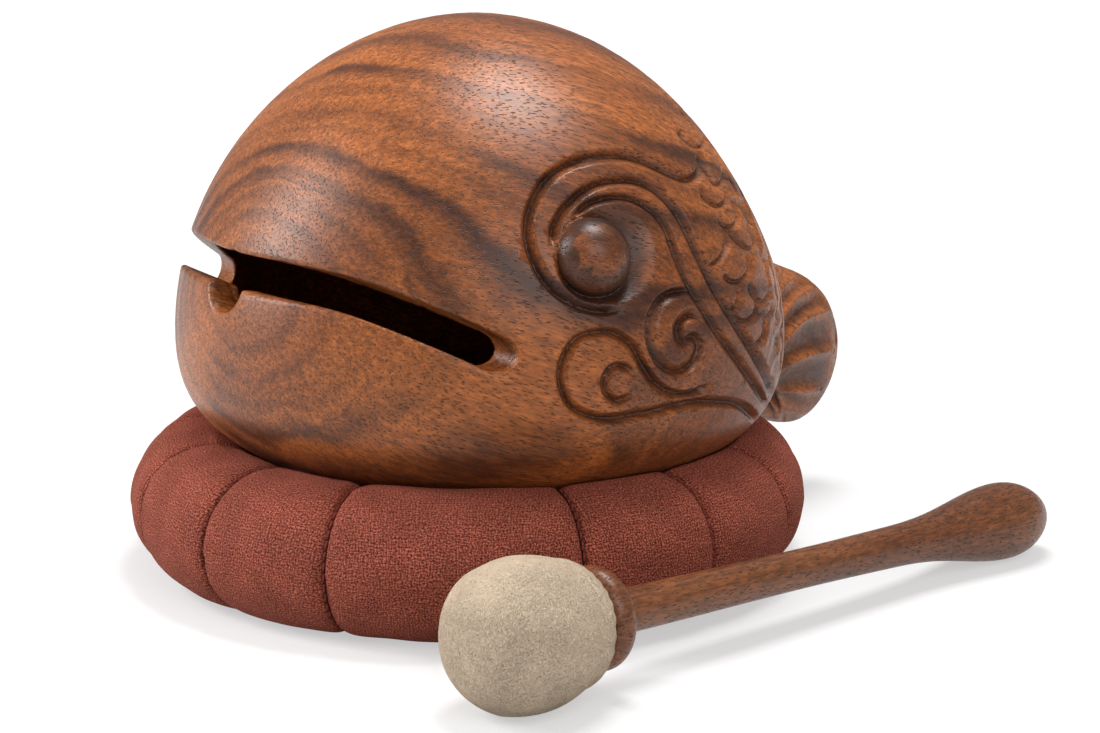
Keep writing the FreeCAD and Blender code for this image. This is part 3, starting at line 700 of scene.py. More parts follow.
# Ends of what a pattern goes between, and of the share or brightness that it gives
RING_FADE, STREAK_DEPTH = (0.36, 0.60, 0.35, 1.0), (0.54, 0.78, 0.0, 0.75)
FIBRE_LIGHT, FLECK_LIGHT = (0.28, 0.72, 0.66, 1.34), (0.32, 0.68, 0.74, 1.26)
# Pores about 2 mm long and 0.3 mm thick, as drawn in the photograph, in two sizes
PORE_SIZES = ((0.25, 1.35, 1.35), (0.34, 1.75, 1.75))
PORE_EDGE, PORE_STAIN, PORE_DEPTH_MM, FIBRE_RELIEF = (0.15, 0.27, 1.0, 0.0), 0.66, 0.12, 0.35
# Painted shade darkens the cuts, from the first of these depths to the second
CUT_SHADE = (0.4, 2.2, 0.0, 0.72)


def carved_wood(name, tones, log, rings, rough, groove_shade=False):
    """Solid hardwood cut across its figure: soft dark growth rings round a slanting pith, long fibres, and
    short open pores. The rings show as arcs where the form cuts them, the pores read as fine dark dashes
    along the fibres, and the rubbed satin breaks up in them."""
    material, tree, surface = new_material(name)
    light, middle, dark, pore = tones
    pith, turn, dip, roll, oval = log
    level = Matrix.Rotation(roll, 3, "X") @ Matrix.Rotation(-dip, 3, "Y") @ Matrix.Rotation(-turn, 3, "Z")
    shift = -(level @ Vector(placed(pith) * 1000))
    coordinates = add(tree, "TexCoord", out="Object")
    place = add(tree, "Mapping", coordinates, tuple(shift), tuple(level.to_euler()), (1000, 1000, 1000))
    along = stretched(tree, place, ALONG_LOG)
    drift = add(tree, "TexNoise", along, Scale=DRIFT_SCALE, Detail=3.0, Roughness=0.6, out="Color")
    drift = add(tree, "VectorMath", drift, (0.5, 0.5, 0.5), operation="SUBTRACT")
    warped = add(tree, "VectorMath", drift, (0, RING_DRIFT, RING_DRIFT), place, operation="MULTIPLY_ADD")
    across = stretched(tree, warped, (0, 1 / oval, 1))
    ring = add(tree, "VectorMath", across, operation="LENGTH", out="Value")
    # Each dark ring has a soft inner edge and a sharper outer one
    band = None
    for radius, inner, outer, strength in rings:
        rise = spread(tree, ring, radius - inner, radius, 0.0, strength)
        fall = spread(tree, ring, radius, radius + outer, 1.0, 0.0)
        one = maths(tree, "MULTIPLY", rise, fall)
        band = one if band is None else maths(tree, "MAXIMUM", band, one)
    fade = add(tree, "TexNoise", along, Scale=FADE_SCALE, Detail=2.0)
    band = maths(tree, "MULTIPLY", band, spread(tree, fade, *RING_FADE))
    streak = maths(tree, "MULTIPLY", ring, STREAK_SCALE)
    streak = add(tree, "CombineXYZ", streak, spread(tree, fade, 0, 1, 0, 3))
    streak = add(tree, "TexNoise", streak, Scale=1.0, Detail=4.0, Roughness=0.6)
    band = maths(tree, "MAXIMUM", band, spread(tree, streak, *STREAK_DEPTH))
    fibre = add(tree, "TexNoise", stretched(tree, place, FIBRES), Scale=1.0, Detail=4.0, Roughness=0.7)
    fleck = stretched(tree, place, FLECKS)
    fleck = add(tree, "TexNoise", fleck, Scale=FLECK_SCALE, Detail=3.0, Roughness=0.6)
    cloud = add(tree, "TexNoise", stretched(tree, place, CLOUDS), Scale=CLOUD_SCALE, Detail=2.0)
    colour = mixed(tree, spread(tree, cloud, 0.35, 0.65), linear(light), linear(middle))
    colour = mixed(tree, band, colour, linear(dark))
    colour = varied(tree, colour, fibre, *FIBRE_LIGHT)
    colour = varied(tree, colour, fleck, *FLECK_LIGHT)
    pores = None
    for size in PORE_SIZES:
        cell = stretched(tree, place, size)
        cell = add(tree, "TexVoronoi", cell, Scale=1.0, Randomness=1.0, out="Distance")
        pit = spread(tree, cell, *PORE_EDGE)
        pores = pit if pores is None else maths(tree, "MAXIMUM", pores, pit)
    colour = mixed(tree, maths(tree, "MULTIPLY", pores, PORE_STAIN), colour, linear(pore))
    if groove_shade:
        # Painted shade: the cuts darken towards the pore tone as they get deeper
        cut = add(tree, "Attribute", attribute_name="carved", out="Fac")
        colour = mixed(tree, spread(tree, cut, *CUT_SHADE), colour, linear(pore))
    dull = spread(tree, maths(tree, "ADD", fibre, pores), 0.3, 1.6, rough - 0.05, rough + 0.25)
    tree.links.new(dull, surface.inputs["Roughness"])
    height = maths(tree, "SUBTRACT", maths(tree, "MULTIPLY", fibre, FIBRE_RELIEF), pores)
    drawn_in(tree, surface, colour, height, PORE_DEPTH_MM, {"Specular IOR Level": 0.45})
    return material


# Lumps to a millimetre of the yarns' wander, the loose fibres and the dye's patches, and nubs to a thread
SLUB_SCALE, SLUB_SHIFT, FIBRE_SCALE, PATCH_SCALE, NUBS_TO_THREAD = 0.55, (2.2, 2.2, 0), 2.6, 0.09, 1.5
# Height that fibres, threads and nubs each give, and the heights of the darkest and lightest tone
FIBRE_HEIGHT, THREAD_HEIGHT, NUB_HEIGHT, TONE_HEIGHTS = 0.8, 0.62, (0.30, 0.70, 0.0, 0.50), (0.42, 1.46)
THREAD_PITCH = 0.8
DYE_LIGHT, SEAM_SHADE, WEAVE_DEPTH_MM = (0.3, 0.7, 0.86, 1.14), (0.8, 2.6, 0.0, 0.75), 0.35


def plain_weave(name, tones, pitch, groove_shade=False):
    """Nubby plain-woven cotton, dyed in the piece: warp and weft pass over each other at a real pitch,
    thread tops catch light and the gaps stay dark, yarns vary in thickness, and short fibres give a soft
    edge."""
    material, tree, surface = new_material(name)
    gap, body_tone, top = tones
    flat = add(tree, "UVMap", uv_map="cloth_mm")
    slub = add(tree, "TexNoise", flat, Scale=SLUB_SCALE, Detail=2.0, out="Color")
    slub = add(tree, "VectorMath", slub, (0.5, 0.5, 0.5), operation="SUBTRACT")
    nub = add(tree, "TexNoise", flat, Scale=NUBS_TO_THREAD / pitch, Detail=2.0, Roughness=0.6)
    flat = add(tree, "VectorMath", slub, SLUB_SHIFT, flat, operation="MULTIPLY_ADD")
    apart = add(tree, "SeparateXYZ", flat)
    waves = []
    for socket in (apart.node.outputs[0], apart.node.outputs[1]):
        waves.append(maths(tree, "SINE", maths(tree, "MULTIPLY", socket, math.pi / pitch)))
    over = maths(tree, "MULTIPLY_ADD", maths(tree, "MULTIPLY", *waves), 0.5, 0.5)
    warp = maths(tree, "MULTIPLY", maths(tree, "ABSOLUTE", waves[0]), over)
    weft = maths(tree, "MULTIPLY", maths(tree, "ABSOLUTE", waves[1]), maths(tree, "SUBTRACT", 1.0, over))
    thread = maths(tree, "MAXIMUM", warp, weft)
    fibre = add(tree, "TexNoise", flat, Scale=FIBRE_SCALE, Detail=3.0, Roughness=0.7)
    patch = add(tree, "TexNoise", flat, Scale=PATCH_SCALE, Detail=3.0)
    thread = maths(tree, "MULTIPLY", thread, THREAD_HEIGHT)
    height = maths(tree, "MULTIPLY_ADD", fibre, FIBRE_HEIGHT, thread)
    height = maths(tree, "ADD", height, spread(tree, nub, *NUB_HEIGHT))
    # Painted light and shade of the weave: thread tops lighter, the gaps between threads darker
    ramp = ((0.0, gap), (0.5, body_tone), (1.0, top))
    colour = add(tree, "ValToRGB", spread(tree, height, *TONE_HEIGHTS), ramp=ramp)
    colour = varied(tree, colour, patch, *DYE_LIGHT)
    if groove_shade:
        # Painted shade: the cloth darkens towards the gap tone where it sinks into the seams, and on the
        # inner skin
        sunk = add(tree, "Attribute", attribute_name="sunk", out="Fac")
        colour = mixed(tree, spread(tree, sunk, *SEAM_SHADE), colour, linear(gap))
    drawn_in(tree, surface, colour, height, WEAVE_DEPTH_MM, {
        "Roughness": 0.88, "Specular IOR Level": 0.2,
        "Sheen Weight": 0.35, "Sheen Roughness": 0.5, "Sheen Tint": linear(top),
    })
    return material


# Nap: how much its tufts twist, its fine hairs and stroked patches to a tuft, and the heights of its tones
NAP_TWIST, HAIRS_TO_TUFT, PATCHES_TO_TUFT, HAIR_HEIGHT = 2.2, 3.2, 0.07, 0.6
NAP_HEIGHTS, STROKED_LIGHT = (0.2, 1.35), (0.3, 0.7, 0.90, 1.08)


def napped(name, tones, nap_mm, depth_mm):
    """Brushed skin or felt: a nap of short fibres that lie in worm-like tufts, with soft lighter and darker
    patches where it was stroked, no shine, and a pale fringe of light along the edge."""
    material, tree, surface = new_material(name)
    shade, body_tone, tip = tones
    place = stretched(tree, add(tree, "TexCoord", out="Object"), (1000, 1000, 1000))
    tuft = add(tree, "TexNoise", place, Scale=1 / nap_mm, Detail=2.0, Roughness=0.5, Distortion=NAP_TWIST)
    apart = maths(tree, "ABSOLUTE", maths(tree, "SUBTRACT", tuft, 0.5))
    ridge = maths(tree, "SUBTRACT", 1.0, maths(tree, "MULTIPLY", apart, 4.0))
    fine = add(tree, "TexNoise", place, Scale=HAIRS_TO_TUFT / nap_mm, Detail=2.0)
    stroked = add(tree, "TexNoise", place, Scale=PATCHES_TO_TUFT / nap_mm, Detail=2.0)
    height = maths(tree, "MULTIPLY_ADD", fine, HAIR_HEIGHT, ridge)
    ramp = ((0.0, shade), (0.5, body_tone), (1.0, tip))
    colour = add(tree, "ValToRGB", spread(tree, height, *NAP_HEIGHTS), ramp=ramp)
    colour = varied(tree, colour, stroked, *STROKED_LIGHT)
    drawn_in(tree, surface, colour, height, depth_mm, {
        "Roughness": 0.95, "Specular IOR Level": 0.1,
        "Sheen Weight": 0.4, "Sheen Roughness": 0.6, "Sheen Tint": linear(tip),
    })
    return material


# ---------------------------------------------------------------- cushion

# A seam draws the cloth in by a wide and a narrow dip, each with its depth and reach
SEAM_WIDE, SEAM_WIDE_REACH, SEAM_NARROW, SEAM_NARROW_REACH = 1.5, 1.9, 1.4, 0.45
INNER_SKIN, WADDING_SKIN, CLOTH_GAP, WADDING_GAP = 3.0, 3.5, 1.3, 1.7
# Puckers at the seams: depth, pitch, reach, how uneven their pitch is, and the size of that unevenness
PUCKER, PUCKER_PITCH, PUCKER_REACH, PUCKER_DRIFT, PUCKER_LUMP, PULL_LUMP = 0.30, 2.9, 2.6, 0.35, 6.0, 5.0
# Slow waves all over, and creases where the cloth has room to spare: their size, depth and place
WAVE_LUMP, WAVE_DEPTH, CREASE_DEPTH, CREASE_WIDTH, CREASE_LENGTH = 9.0, 0.30, 0.55, 2.6, 14.0
CREASE_ANGLE, CREASE_SPAN = 1.9, 1.3
WAVE_SEED, PUCKER_SEED, PULL_SEED, CREASE_SEED, WADDING_SEED = 11, 5, 6, 21, 9
# Points across a panel and round the tube; those of the inner skin are three times as far apart
ACROSS_PANEL, ROUND_TUBE, COARSER, TOWARDS_SEAMS = 40, 210, 3, 1.7
INNER_CLOTH_U, INNER_CLOTH_V, PANEL_SHIFT_MM, INNER_SHADE_SUNK = 3.0, 1.8, 7.3, 2.0
PRESS_BLEND, FLOOR_BLEND = 0.6, 0.4
STITCH_LENGTH, STITCH_PITCH, STITCH_RADIUS, STITCH_SINK = 2.4, 3.0, 0.32, 1.45
STITCH_ENDS, STITCH_SIDES, STITCH_SLANT, STITCH_BOW = 7, 8, 0.12, 0.35
STITCH_FISH_GAP, STITCH_FLOOR_GAP = 1.6, 1.2
WADDING_ROWS, WADDING_COLUMNS, WADDING_LUMPS, LUMP_HEIGHT = 200, 60, (20, 7), 0.25


def seam_directions():
    """Directions of the seams round the ring in degrees, the wide panel's two first."""
    step = (360 - WIDE_PANEL_ANGLE) / (PANEL_COUNT - 1)
    first = WIDE_PANEL_DIRECTION - WIDE_PANEL_ANGLE / 2
    return [first, *(first + WIDE_PANEL_ANGLE + step * k for k in range(PANEL_COUNT - 1)), first + 360]


def tube_points(direction, angle, radius):
    """Points of the ring at directions round it and angles round its tube, in radians, 0 outwards."""
    out = ring_radius + radius * np.cos(angle)
    up = tube_middle + radius * np.sin(angle)
    return np.stack(np.broadcast_arrays(out * np.cos(direction), out * np.sin(direction), up), -1)


def pressed(points, gap):
    """The points held off the fish that presses on them, and flat on the floor."""
    near, outward = form_distance(body, points)
    push = gap - near
    soft = (push + PRESS_BLEND) ** 2 / (4 * PRESS_BLEND)
    push = np.where(push > PRESS_BLEND, push, np.where(push < -PRESS_BLEND, 0, soft))
    points = points + outward * push[..., None]
    height = points[..., 2]
    low = FLOOR_BLEND * np.exp(np.minimum(height - FLOOR_BLEND, 0) / FLOOR_BLEND)
    points[..., 2] = np.where(height > FLOOR_BLEND, height, low)
    return points


def cushion_panel(number, start, end, material):
    """One sewn panel of the cover: crowned between its seams, drawn into them with small puckers, and
    creased softly where the fish pushes the cloth together."""
    bent = np.linspace(-1, 1, ACROSS_PANEL)
    share = (np.sign(bent) * (1 - (1 - np.abs(bent)) ** TOWARDS_SEAMS) + 1) / 2
    direction = np.radians(start + (end - start) * share)[:, None]
    angle = np.linspace(0, 2 * np.pi, ROUND_TUBE, endpoint=False)[None, :]
    local = ring_radius + tube_radius * np.cos(angle)
    width = math.radians(end - start) * local
    left, right = share[:, None] * width, (1 - share[:, None]) * width
    seam = np.minimum(left, right)
    sunk = SEAM_WIDE * np.exp(-seam / SEAM_WIDE_REACH) + SEAM_NARROW * np.exp(-seam / SEAM_NARROW_REACH)
    round_mm = angle * tube_radius
    across_mm = (share[:, None] - 0.5) * width
    wave = soft_noise(round_mm / WAVE_LUMP + number * 5, across_mm / WAVE_LUMP + 20, WAVE_SEED)
    for side, seam_number in ((left, number), (right, number + 1)):
        row = 0 * across_mm + seam_number
        drift = PUCKER_DRIFT * soft_noise(round_mm / PUCKER_LUMP, row, PUCKER_SEED)
        beat = 0.5 + 0.5 * np.cos(2 * np.pi * (round_mm / PUCKER_PITCH + drift))
        pull = 0.5 + 0.5 * soft_noise(round_mm / PULL_LUMP + 31, row + 40, PULL_SEED)
        sunk = sunk + PUCKER * beat * pull * np.exp(-side / PUCKER_REACH)
    # Creases gather on the top and the inside of the ring
    inside = np.clip((1.0 - np.cos(angle)) / 2, 0, 1)
    inside = inside * np.clip(1 - np.abs(angle - CREASE_ANGLE) / CREASE_SPAN, 0, 1)
    crease = soft_noise(round_mm / CREASE_WIDTH + wave, across_mm / CREASE_LENGTH + number * 3, CREASE_SEED)
    sunk = sunk + CREASE_DEPTH * inside * crease - WAVE_DEPTH * wave
    outer = pressed(tube_points(direction, angle, tube_radius - sunk), SEAT_GAP)
    inner = tube_points(direction[::COARSER], angle[:, ::COARSER], tube_radius - INNER_SKIN)
    inner = pressed(inner, CLOTH_GAP)
    inner[0], inner[-1] = outer[0, ::COARSER], outer[-1, ::COARSER]
    quads, places = grid_faces(ACROSS_PANEL, ROUND_TUBE, True)
    back, back_places = grid_faces(inner.shape[0], inner.shape[1], True, ACROSS_PANEL * ROUND_TUBE)
    rows, columns = places[..., 0], places[..., 1]
    cloth_v = columns * (2 * np.pi * tube_radius / ROUND_TUBE)
    cloth_u = across_mm[rows, columns % ROUND_TUBE] + number * PANEL_SHIFT_MM
    back_uv = back_places * (INNER_CLOTH_U, INNER_CLOTH_V)
    corners = np.concatenate([np.stack([cloth_u, cloth_v], -1), back_uv[:, ::-1]])
    points = np.concatenate([outer.reshape(-1, 3), inner.reshape(-1, 3)])
    label = f"{number + 1:02d}"
    piece = new_piece(
        "panel_" + label, points, [*quads.tolist(), *back[:, ::-1].tolist()], "cushion",
        ("cushion_panel_" + label,), material, corners,
    )
    # The inner skin gets a fixed sunk depth, so the painted seam shade darkens it too
    point_value(piece, "sunk", np.concatenate([sunk.ravel(), np.full(inner.size // 3, INNER_SHADE_SUNK)]))


def seam_stitches(number, direction, material):
    """Running stitches down in one seam, each a short slanted thread, where the fish leaves them free."""
    count = int(2 * np.pi * tube_radius / STITCH_PITCH)
    ends, sides = STITCH_ENDS, STITCH_SIDES
    along = np.linspace(-1, 1, ends)
    thick = STITCH_RADIUS * np.sqrt(np.clip(1 - np.abs(along) ** 5, 0.02, 1))
    ring = np.linspace(0, 2 * np.pi, sides, endpoint=False)
    turn = math.radians(direction)
    aside = np.array([-math.sin(turn), math.cos(turn), 0])
    points, faces = [], []
    for k in range(count):
        angle = 2 * np.pi * k / count
        middle = tube_points(turn, angle, tube_radius - STITCH_SINK)
        if form_distance(body, middle[None])[0][0] < STITCH_FISH_GAP or middle[2] < STITCH_FLOOR_GAP:
            continue
        centre = tube_points(turn, angle, 0)
        outward = (middle - centre) / np.linalg.norm(middle - centre)
        way = np.cross(outward, aside) + STITCH_SLANT * aside
        first = len(points) * ends * sides
        last = first + (ends - 1) * sides
        path = middle + along[:, None] * way * STITCH_LENGTH / 2
        path = path - outward * (along ** 2)[:, None] * STITCH_BOW
        rim = outward * np.cos(ring)[:, None] + np.cross(way, outward) * np.sin(ring)[:, None]
        points.append((path[:, None] + rim * thick[:, None, None]).reshape(-1, 3))
        faces += grid_faces(ends, sides, True, first)[0].tolist()
        faces += [[*range(first, first + sides)][::-1], [*range(last, last + sides)]]
    label = f"{number + 1:02d}"
    new_piece(
        "stitches_" + label, np.vstack(points), faces, "cushion",
        ("seam_thread_" + label,), material,
    )


def wadding_ring(material):
    """The ring of packed fibre inside the cover."""
    direction = np.linspace(0, 2 * np.pi, WADDING_ROWS, endpoint=False)[:, None]
    angle = np.linspace(0, 2 * np.pi, WADDING_COLUMNS, endpoint=False)[None, :]
    across, around = WADDING_LUMPS
    lumps = LUMP_HEIGHT * soft_noise(direction * across, angle * around, WADDING_SEED)
    points = pressed(tube_points(direction, angle, tube_radius - WADDING_SKIN + lumps), WADDING_GAP)
    quads = grid_faces(WADDING_ROWS, WADDING_COLUMNS, True, wrap_rows=True)[0]
    points = points.reshape(-1, 3)
    piece = new_piece("wadding", points, quads.tolist(), "cushion", ("cushion_stuffing",), material)


# ---------------------------------------------------------------- mallet

SIDES, HEAD_SIDES, TIE_STEPS, TIE_SIDES, HANDLE_STEPS = 96, 144, 120, 12, 300
HEAD_STEP, PADDING_STEP, BEAD_STEP, SKIN_GAP, BORE_GAP = 0.45, 1.0, 0.8, 0.1, 0.05
# The skin's unevenness by hand: depth, size and seed of its lumps, and its gathers at the neck
SKIN_LUMPS = ((0.35, 11.0, 40, 7, 3), (0.25, 8.0, 9, 3, 4))
GATHER_DEPTH, GATHERS, GATHER_START, GATHER_REACH, AXIS_REACH = 0.22, 26, 12.5, 4.0, 6.0
TIE_TWISTS, TIE_GROOVE = 9, 0.14


def mallet_points(points):
    """Points along the mallet's axis to where it lies: its head at the origin, its handle along X."""
    widest = max(HANDLE_SHARES, key=lambda row: row[1])[0]
    pommel = HEAD_BACK + COLLAR_LENGTH / 2 + HANDLE_LENGTH * widest
    dip = math.asin((HEAD_DIAMETER - POMMEL_DIAMETER) / 2 / pommel)
    lie = Matrix.Rotation(math.radians(MALLET_TURN), 3, "Z") @ Matrix.Rotation(dip, 3, "Y")
    rest = max(-(low_point(outline, dip)) for outline in (handle_outline(), head_outline(0)))
    return points @ np.array(lie).T + (-MALLET_BACK, -MALLET_SIDE, rest)


def low_point(outline, dip):
    """Lowest height of an outline that is dipped about the head."""
    return min(-outline[:, 0] * math.sin(dip) - outline[:, 1] * math.cos(dip))


def curve_through(points, count):
    """A smooth line through points of an outline, which may turn back."""
    points = np.asarray(points, float)
    run = np.concatenate([[0], np.cumsum(np.linalg.norm(np.diff(points, axis=0), axis=1))])
    at = np.linspace(0, run[-1], count)
    return np.stack([smooth_line(run, points[:, k], at, False) for k in (0, 1)], -1)


def arc_through(start, middle, end, count=24):
    """Points of the arc through three."""
    start, middle, end = (np.array(p, float) for p in (start, middle, end))
    rows = 2 * np.array([middle - start, end - start])
    centre = np.linalg.solve(rows, [middle @ middle - start @ start, end @ end - start @ start])
    turns = [math.atan2(*(p - centre)[::-1]) for p in (start, middle, end)]
    turns = np.unwrap(turns)
    way = np.linspace(turns[0], turns[2], count)
    return centre + np.linalg.norm(start - centre) * np.stack([np.cos(way), np.sin(way)], -1)


def head_outline(inset):
    """The rounded head from its front to the edge of its flat back, drawn in by an inset."""
    points = []
    for along, out in HEAD_SHARES:
        reach = (HEAD_FRONT if along < 0 else HEAD_BACK) - inset
        points.append((reach * along, (HEAD_DIAMETER / 2 - inset) * out))
    arcs = [arc_through(*points[k:k + 3]) for k in (0, 2, 4)]
    return np.vstack([arcs[0], arcs[1][1:], arcs[2][1:]])


def handle_outline():
    """Shaft and pommel from the collar to the tip."""
    start = HEAD_BACK + COLLAR_LENGTH / 2
    swell = (POMMEL_DIAMETER - WAIST_DIAMETER) / 2
    given = [(start + HANDLE_LENGTH * x, WAIST_DIAMETER / 2 + swell * out) for x, out in HANDLE_SHARES]
    tip = (start + HANDLE_LENGTH, 0.0)
    mirrored = [(x, -out) for x, out in given[::-1]]
    outline = curve_through([*given, tip, *mirrored], 2 * HANDLE_STEPS + 1)[:HANDLE_STEPS + 1]
    outline[-1] = tip
    return outline


def lathe(outline, sides, ripple):
    """Points and faces of an outline spun round X, closed at ends that lie on the axis."""
    turn = np.linspace(0, 2 * np.pi, sides, endpoint=False)
    x, out = np.repeat(outline[:, 0:1], sides, 1), np.repeat(outline[:, 1:2], sides, 1)
    if ripple is not None:
        out = out + ripple(x, turn[None, :], out)
    points = np.stack([x, out * np.cos(turn), out * np.sin(turn)], -1).reshape(-1, 3)
    quads = grid_faces(len(outline), sides, True)[0]
    return points, quads[:, ::-1].tolist()


def mallet_piece(name, outline, replaced, material, sides=SIDES, ripple=None):
    """A turned piece, where the mallet lies."""
    points, faces = lathe(outline, sides, ripple)
    return new_piece(name, mallet_points(points), faces, "mallet", replaced, material)


def bead_outline():
    """The collar: a half-round bead with flat sides, bored for the tenon."""
    start, end = HEAD_BACK, HEAD_BACK + COLLAR_LENGTH
    bore, outer = TENON_DIAMETER / 2 + BORE_GAP, COLLAR_DIAMETER / 2
    rim = outer - COLLAR_LENGTH / 2
    bead = arc_through((start, rim), ((start + end) / 2, outer), (end, rim), 40)
    return curve_dense(np.vstack([[(start, bore)], bead, [(end, bore), (start, bore)]]), BEAD_STEP)


def turned_handle(material):
    """Tenon, shaft and pommel in one piece."""
    shaft = handle_outline()
    tenon = TENON_DIAMETER / 2
    start = [(-TENON_START, 0), (-TENON_START, tenon), (shaft[0, 0], tenon)]
    mallet_piece("handle", np.vstack([start, shaft]), ("mallet_handle",), material)


def suede_head(material):
    """The cover: one skin drawn round the padding and gathered at its neck, a little uneven by hand."""
    neck = TENON_DIAMETER / 2 + TIE_DIAMETER + 3 * TIE_GAP
    folded = [(HEAD_BACK, neck), (HEAD_BACK - SUEDE, neck)]
    outline = curve_dense(np.vstack([head_outline(0), folded, head_outline(SUEDE)[::-1]]), HEAD_STEP)

    def ripple(x, turn, out):
        lift = 0
        for (depth, size, u, v, seed), aside in zip(SKIN_LUMPS, (np.cos(turn), np.sin(turn))):
            lift = lift + depth * soft_noise(x / size + u, aside * out / size + v, seed)
        gather = GATHER_DEPTH * np.cos(turn * GATHERS + 2 * np.sin(turn * 3))
        gather = gather * np.clip((x - GATHER_START) / GATHER_REACH, 0, 1)
        lift = lift + gather * np.clip(out / AXIS_REACH - 0.6, 0, 1)
        return lift * np.clip(out / AXIS_REACH, 0, 1)

    piece = mallet_piece("suede_cover", outline, ("head_cover",), material, HEAD_SIDES, ripple)


def curve_dense(points, step):
    """The same outline with a point at least every step."""
    parts = [points[:1]]
    for a, b in zip(points[:-1], points[1:]):
        count = max(1, int(np.ceil(np.linalg.norm(b - a) / step)))
        parts.append(a + (b - a) * (np.arange(1, count + 1) / count)[:, None])
    return np.vstack(parts)


def felt_padding(material):
    """Felt wound round the core, under the skin."""
    tenon = TENON_DIAMETER / 2
    outer, inner = head_outline(SUEDE + SKIN_GAP), head_outline(SUEDE + PADDING)
    outline = np.vstack([outer, [(outer[-1, 0], tenon), (inner[-1, 0], tenon)], inner[::-1]])
    outline = curve_dense(outline, PADDING_STEP)
    piece = mallet_piece("felt_padding", outline, ("head_padding",), material)


def neck_tie(material):
    """Waxed cord of two twisted strands round the neck of the cover."""
    radius = (TENON_DIAMETER + TIE_DIAMETER) / 2 + TIE_GAP
    place = HEAD_BACK - SUEDE / 2
    turn = np.linspace(0, 2 * np.pi, TIE_STEPS, endpoint=False)[:, None]
    ring = np.linspace(0, 2 * np.pi, TIE_SIDES, endpoint=False)[None, :]
    strands = 1 - TIE_GROOVE + TIE_GROOVE * np.cos(2 * (ring - turn * TIE_TWISTS))
    thick = TIE_DIAMETER / 2 * strands
    x, out = place + thick * np.sin(ring), radius + thick * np.cos(ring)
    points = mallet_points(np.stack([x, out * np.cos(turn), out * np.sin(turn)], -1).reshape(-1, 3))
    faces = grid_faces(TIE_STEPS, TIE_SIDES, True, wrap_rows=True)[0][:, ::-1].tolist()
    new_piece("neck_tie", points, faces, "mallet", ("cover_tie",), material)


# ---------------------------------------------------------------- camera, light and floor

def set_camera():
    """The photograph's camera."""
    data = bpy.data.cameras.new("photo_camera")
    data.sensor_width = SENSOR_MM
    data.lens = LENS_PX / PHOTO_W * SENSOR_MM
    data.clip_start = 0.01
    camera = put_in("photo_camera", data)
    turned = Matrix(np.stack([camera_right, camera_up, camera_back], 1).tolist()).to_4x4()
    camera.matrix_world = Matrix.Translation(placed(camera_place)) @ turned
    bpy.context.scene.camera = camera


WORLD_LIGHT, LIGHT_AIM = 0.30, 80.0
# Each softbox with the way to it, its distance, width and height in metres, and its power in watts
SOFTBOXES = (
    ("top_softbox", (0.16, 0.02, 0.98), 0.75, 0.34, 0.26, 4.6),
    ("left_softbox", (-0.72, 0.50, 0.42), 0.80, 0.16, 0.50, 4.6),
    ("front_softbox", (-0.25, -0.90, 0.55), 1.10, 0.80, 0.60, 4.0),
)
FLOOR_COLOUR, FLOOR_GLOW_NEAR, FLOOR_GLOW_FAR = "#BDBDBD", 0.50, 0.90
FLOOR_NEAR, FLOOR_FAR, FLOOR_HALF = 0.22, 0.80, 6.0


def softbox(name, towards, distance, width, height, power):
    """An area lamp that faces the fish from a direction."""
    lamp = bpy.data.lights.new(name, "AREA")
    lamp.shape, lamp.size, lamp.size_y, lamp.energy = "RECTANGLE", width, height, power
    hung = put_in(name, lamp)
    way = Vector(towards).normalized()
    hung.location = Vector(placed((0, 0, LIGHT_AIM))) + way * distance
    hung.rotation_euler = way.to_track_quat("Z", "Y").to_euler()


def set_light():
    """Soft studio light at a plain level, before a backdrop that renders white."""
    bpy.context.scene.view_settings.view_transform = "Standard"
    world = bpy.data.worlds.new("studio")
    bpy.context.scene.world = world
    world.use_nodes = True
    tree = world.node_tree
    rays = add(tree, "LightPath").node.outputs
    seen = maths(tree, "MAXIMUM", rays["Is Camera Ray"], rays["Is Transmission Ray"])
    backdrop = tree.nodes["Background"]
    backdrop.inputs["Color"].default_value = linear("#FFFFFF")
    tree.links.new(spread(tree, seen, 0.0, 1.0, WORLD_LIGHT, 1.0), backdrop.inputs["Strength"])
    for settings in SOFTBOXES:
        softbox(*settings)


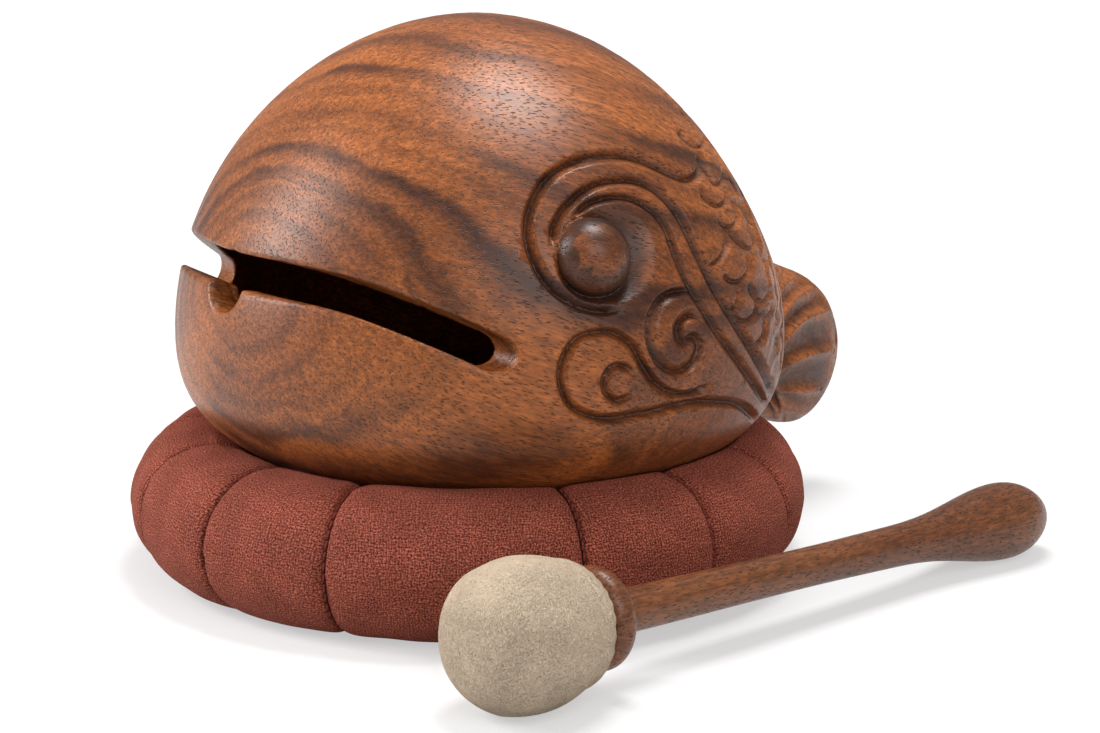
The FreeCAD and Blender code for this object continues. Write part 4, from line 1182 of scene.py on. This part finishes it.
def lay_floor():
    """A plain pale sweep that renders white and keeps the shadow under the set."""
    material, tree, surface = new_material("white_paper_sweep")
    surface.inputs["Base Color"].default_value = linear(FLOOR_COLOUR)
    surface.inputs["Roughness"].default_value = 1.0
    surface.inputs["Specular IOR Level"].default_value = 0.0
    rays = add(tree, "LightPath").node.outputs
    seen = maths(tree, "MAXIMUM", rays["Is Camera Ray"], rays["Is Glossy Ray"])
    surface.inputs["Emission Color"].default_value = linear("#FFFFFF")
    away = add(tree, "TexCoord", out="Object")
    away = add(tree, "VectorMath", away, operation="LENGTH", out="Value")
    glow = spread(tree, away, FLOOR_NEAR, FLOOR_FAR, FLOOR_GLOW_NEAR, FLOOR_GLOW_FAR)
    tree.links.new(maths(tree, "MULTIPLY", seen, glow), surface.inputs["Emission Strength"])
    mesh = bpy.data.meshes.new("floor")
    corners = [(x * FLOOR_HALF, y * FLOOR_HALF, 0) for x, y in ((-1, -1), (1, -1), (1, 1), (-1, 1))]
    mesh.from_pydata(corners, [], [(0, 1, 2, 3)])
    mesh.materials.append(material)
    floor = put_in("floor", mesh)


# ---------------------------------------------------------------- the set

set_camera()
set_light()
lay_floor()

# Woods from their light, middle, dark and pore tones; cloth and nap from their shade, body and tip
fish_wood = carved_wood(
    "rosewood_carved_and_waxed", ("#AA602C", "#8A4B22", "#472310", "#24100A"),
    FISH_LOG, FISH_RINGS, 0.42, groove_shade=True,
)
handle_wood = carved_wood(
    "rosewood_turned_and_waxed", ("#8C5530", "#744326", "#472616", "#24100A"),
    HANDLE_LOG, HANDLE_RINGS, 0.38,
)
core_wood = carved_wood(
    "beech_turned_raw", ("#C69C6E", "#B98D5E", "#A67B50", "#7C5634"), HANDLE_LOG, HANDLE_RINGS, 0.6,
)
cushion_cloth = plain_weave(
    "terracotta_cotton_plain_weave", ("#40140F", "#8E4030", "#CB7660"), THREAD_PITCH, groove_shade=True,
)
stitch_thread = napped("terracotta_sewing_thread", ("#45170F", "#6E2F24", "#8E4537"), 0.5, 0.05)
wadding_fibre = napped("packed_cotton_wadding", ("#B8B0A2", "#D8D2C6", "#ECE8DE"), 2.2, 0.3)
head_suede = napped("beige_sueded_sheepskin", ("#9C8066", "#DCBF9F", "#F3DEC4"), 0.75, 0.30)
padding_felt = napped("pressed_wool_felt", ("#A79E8E", "#CDC5B5", "#E2DCCF"), 1.4, 0.2)
tie_cord = napped("waxed_linen_cord", ("#8A7558", "#B39C7A", "#CDB896"), 0.4, 0.04)

carved_fish(fish_wood)
seams = seam_directions()
for number in range(PANEL_COUNT):
    cushion_panel(number, seams[number], seams[number + 1], cushion_cloth)
    seam_stitches(number, seams[number], stitch_thread)
wadding_ring(wadding_fibre)

turned_handle(handle_wood)
mallet_piece("collar_bead", bead_outline(), ("mallet_collar",), handle_wood)
suede_head(head_suede)
felt_padding(padding_felt)
neck_tie(tie_cord)
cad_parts["head_core"].material_slots[0].material = core_wood
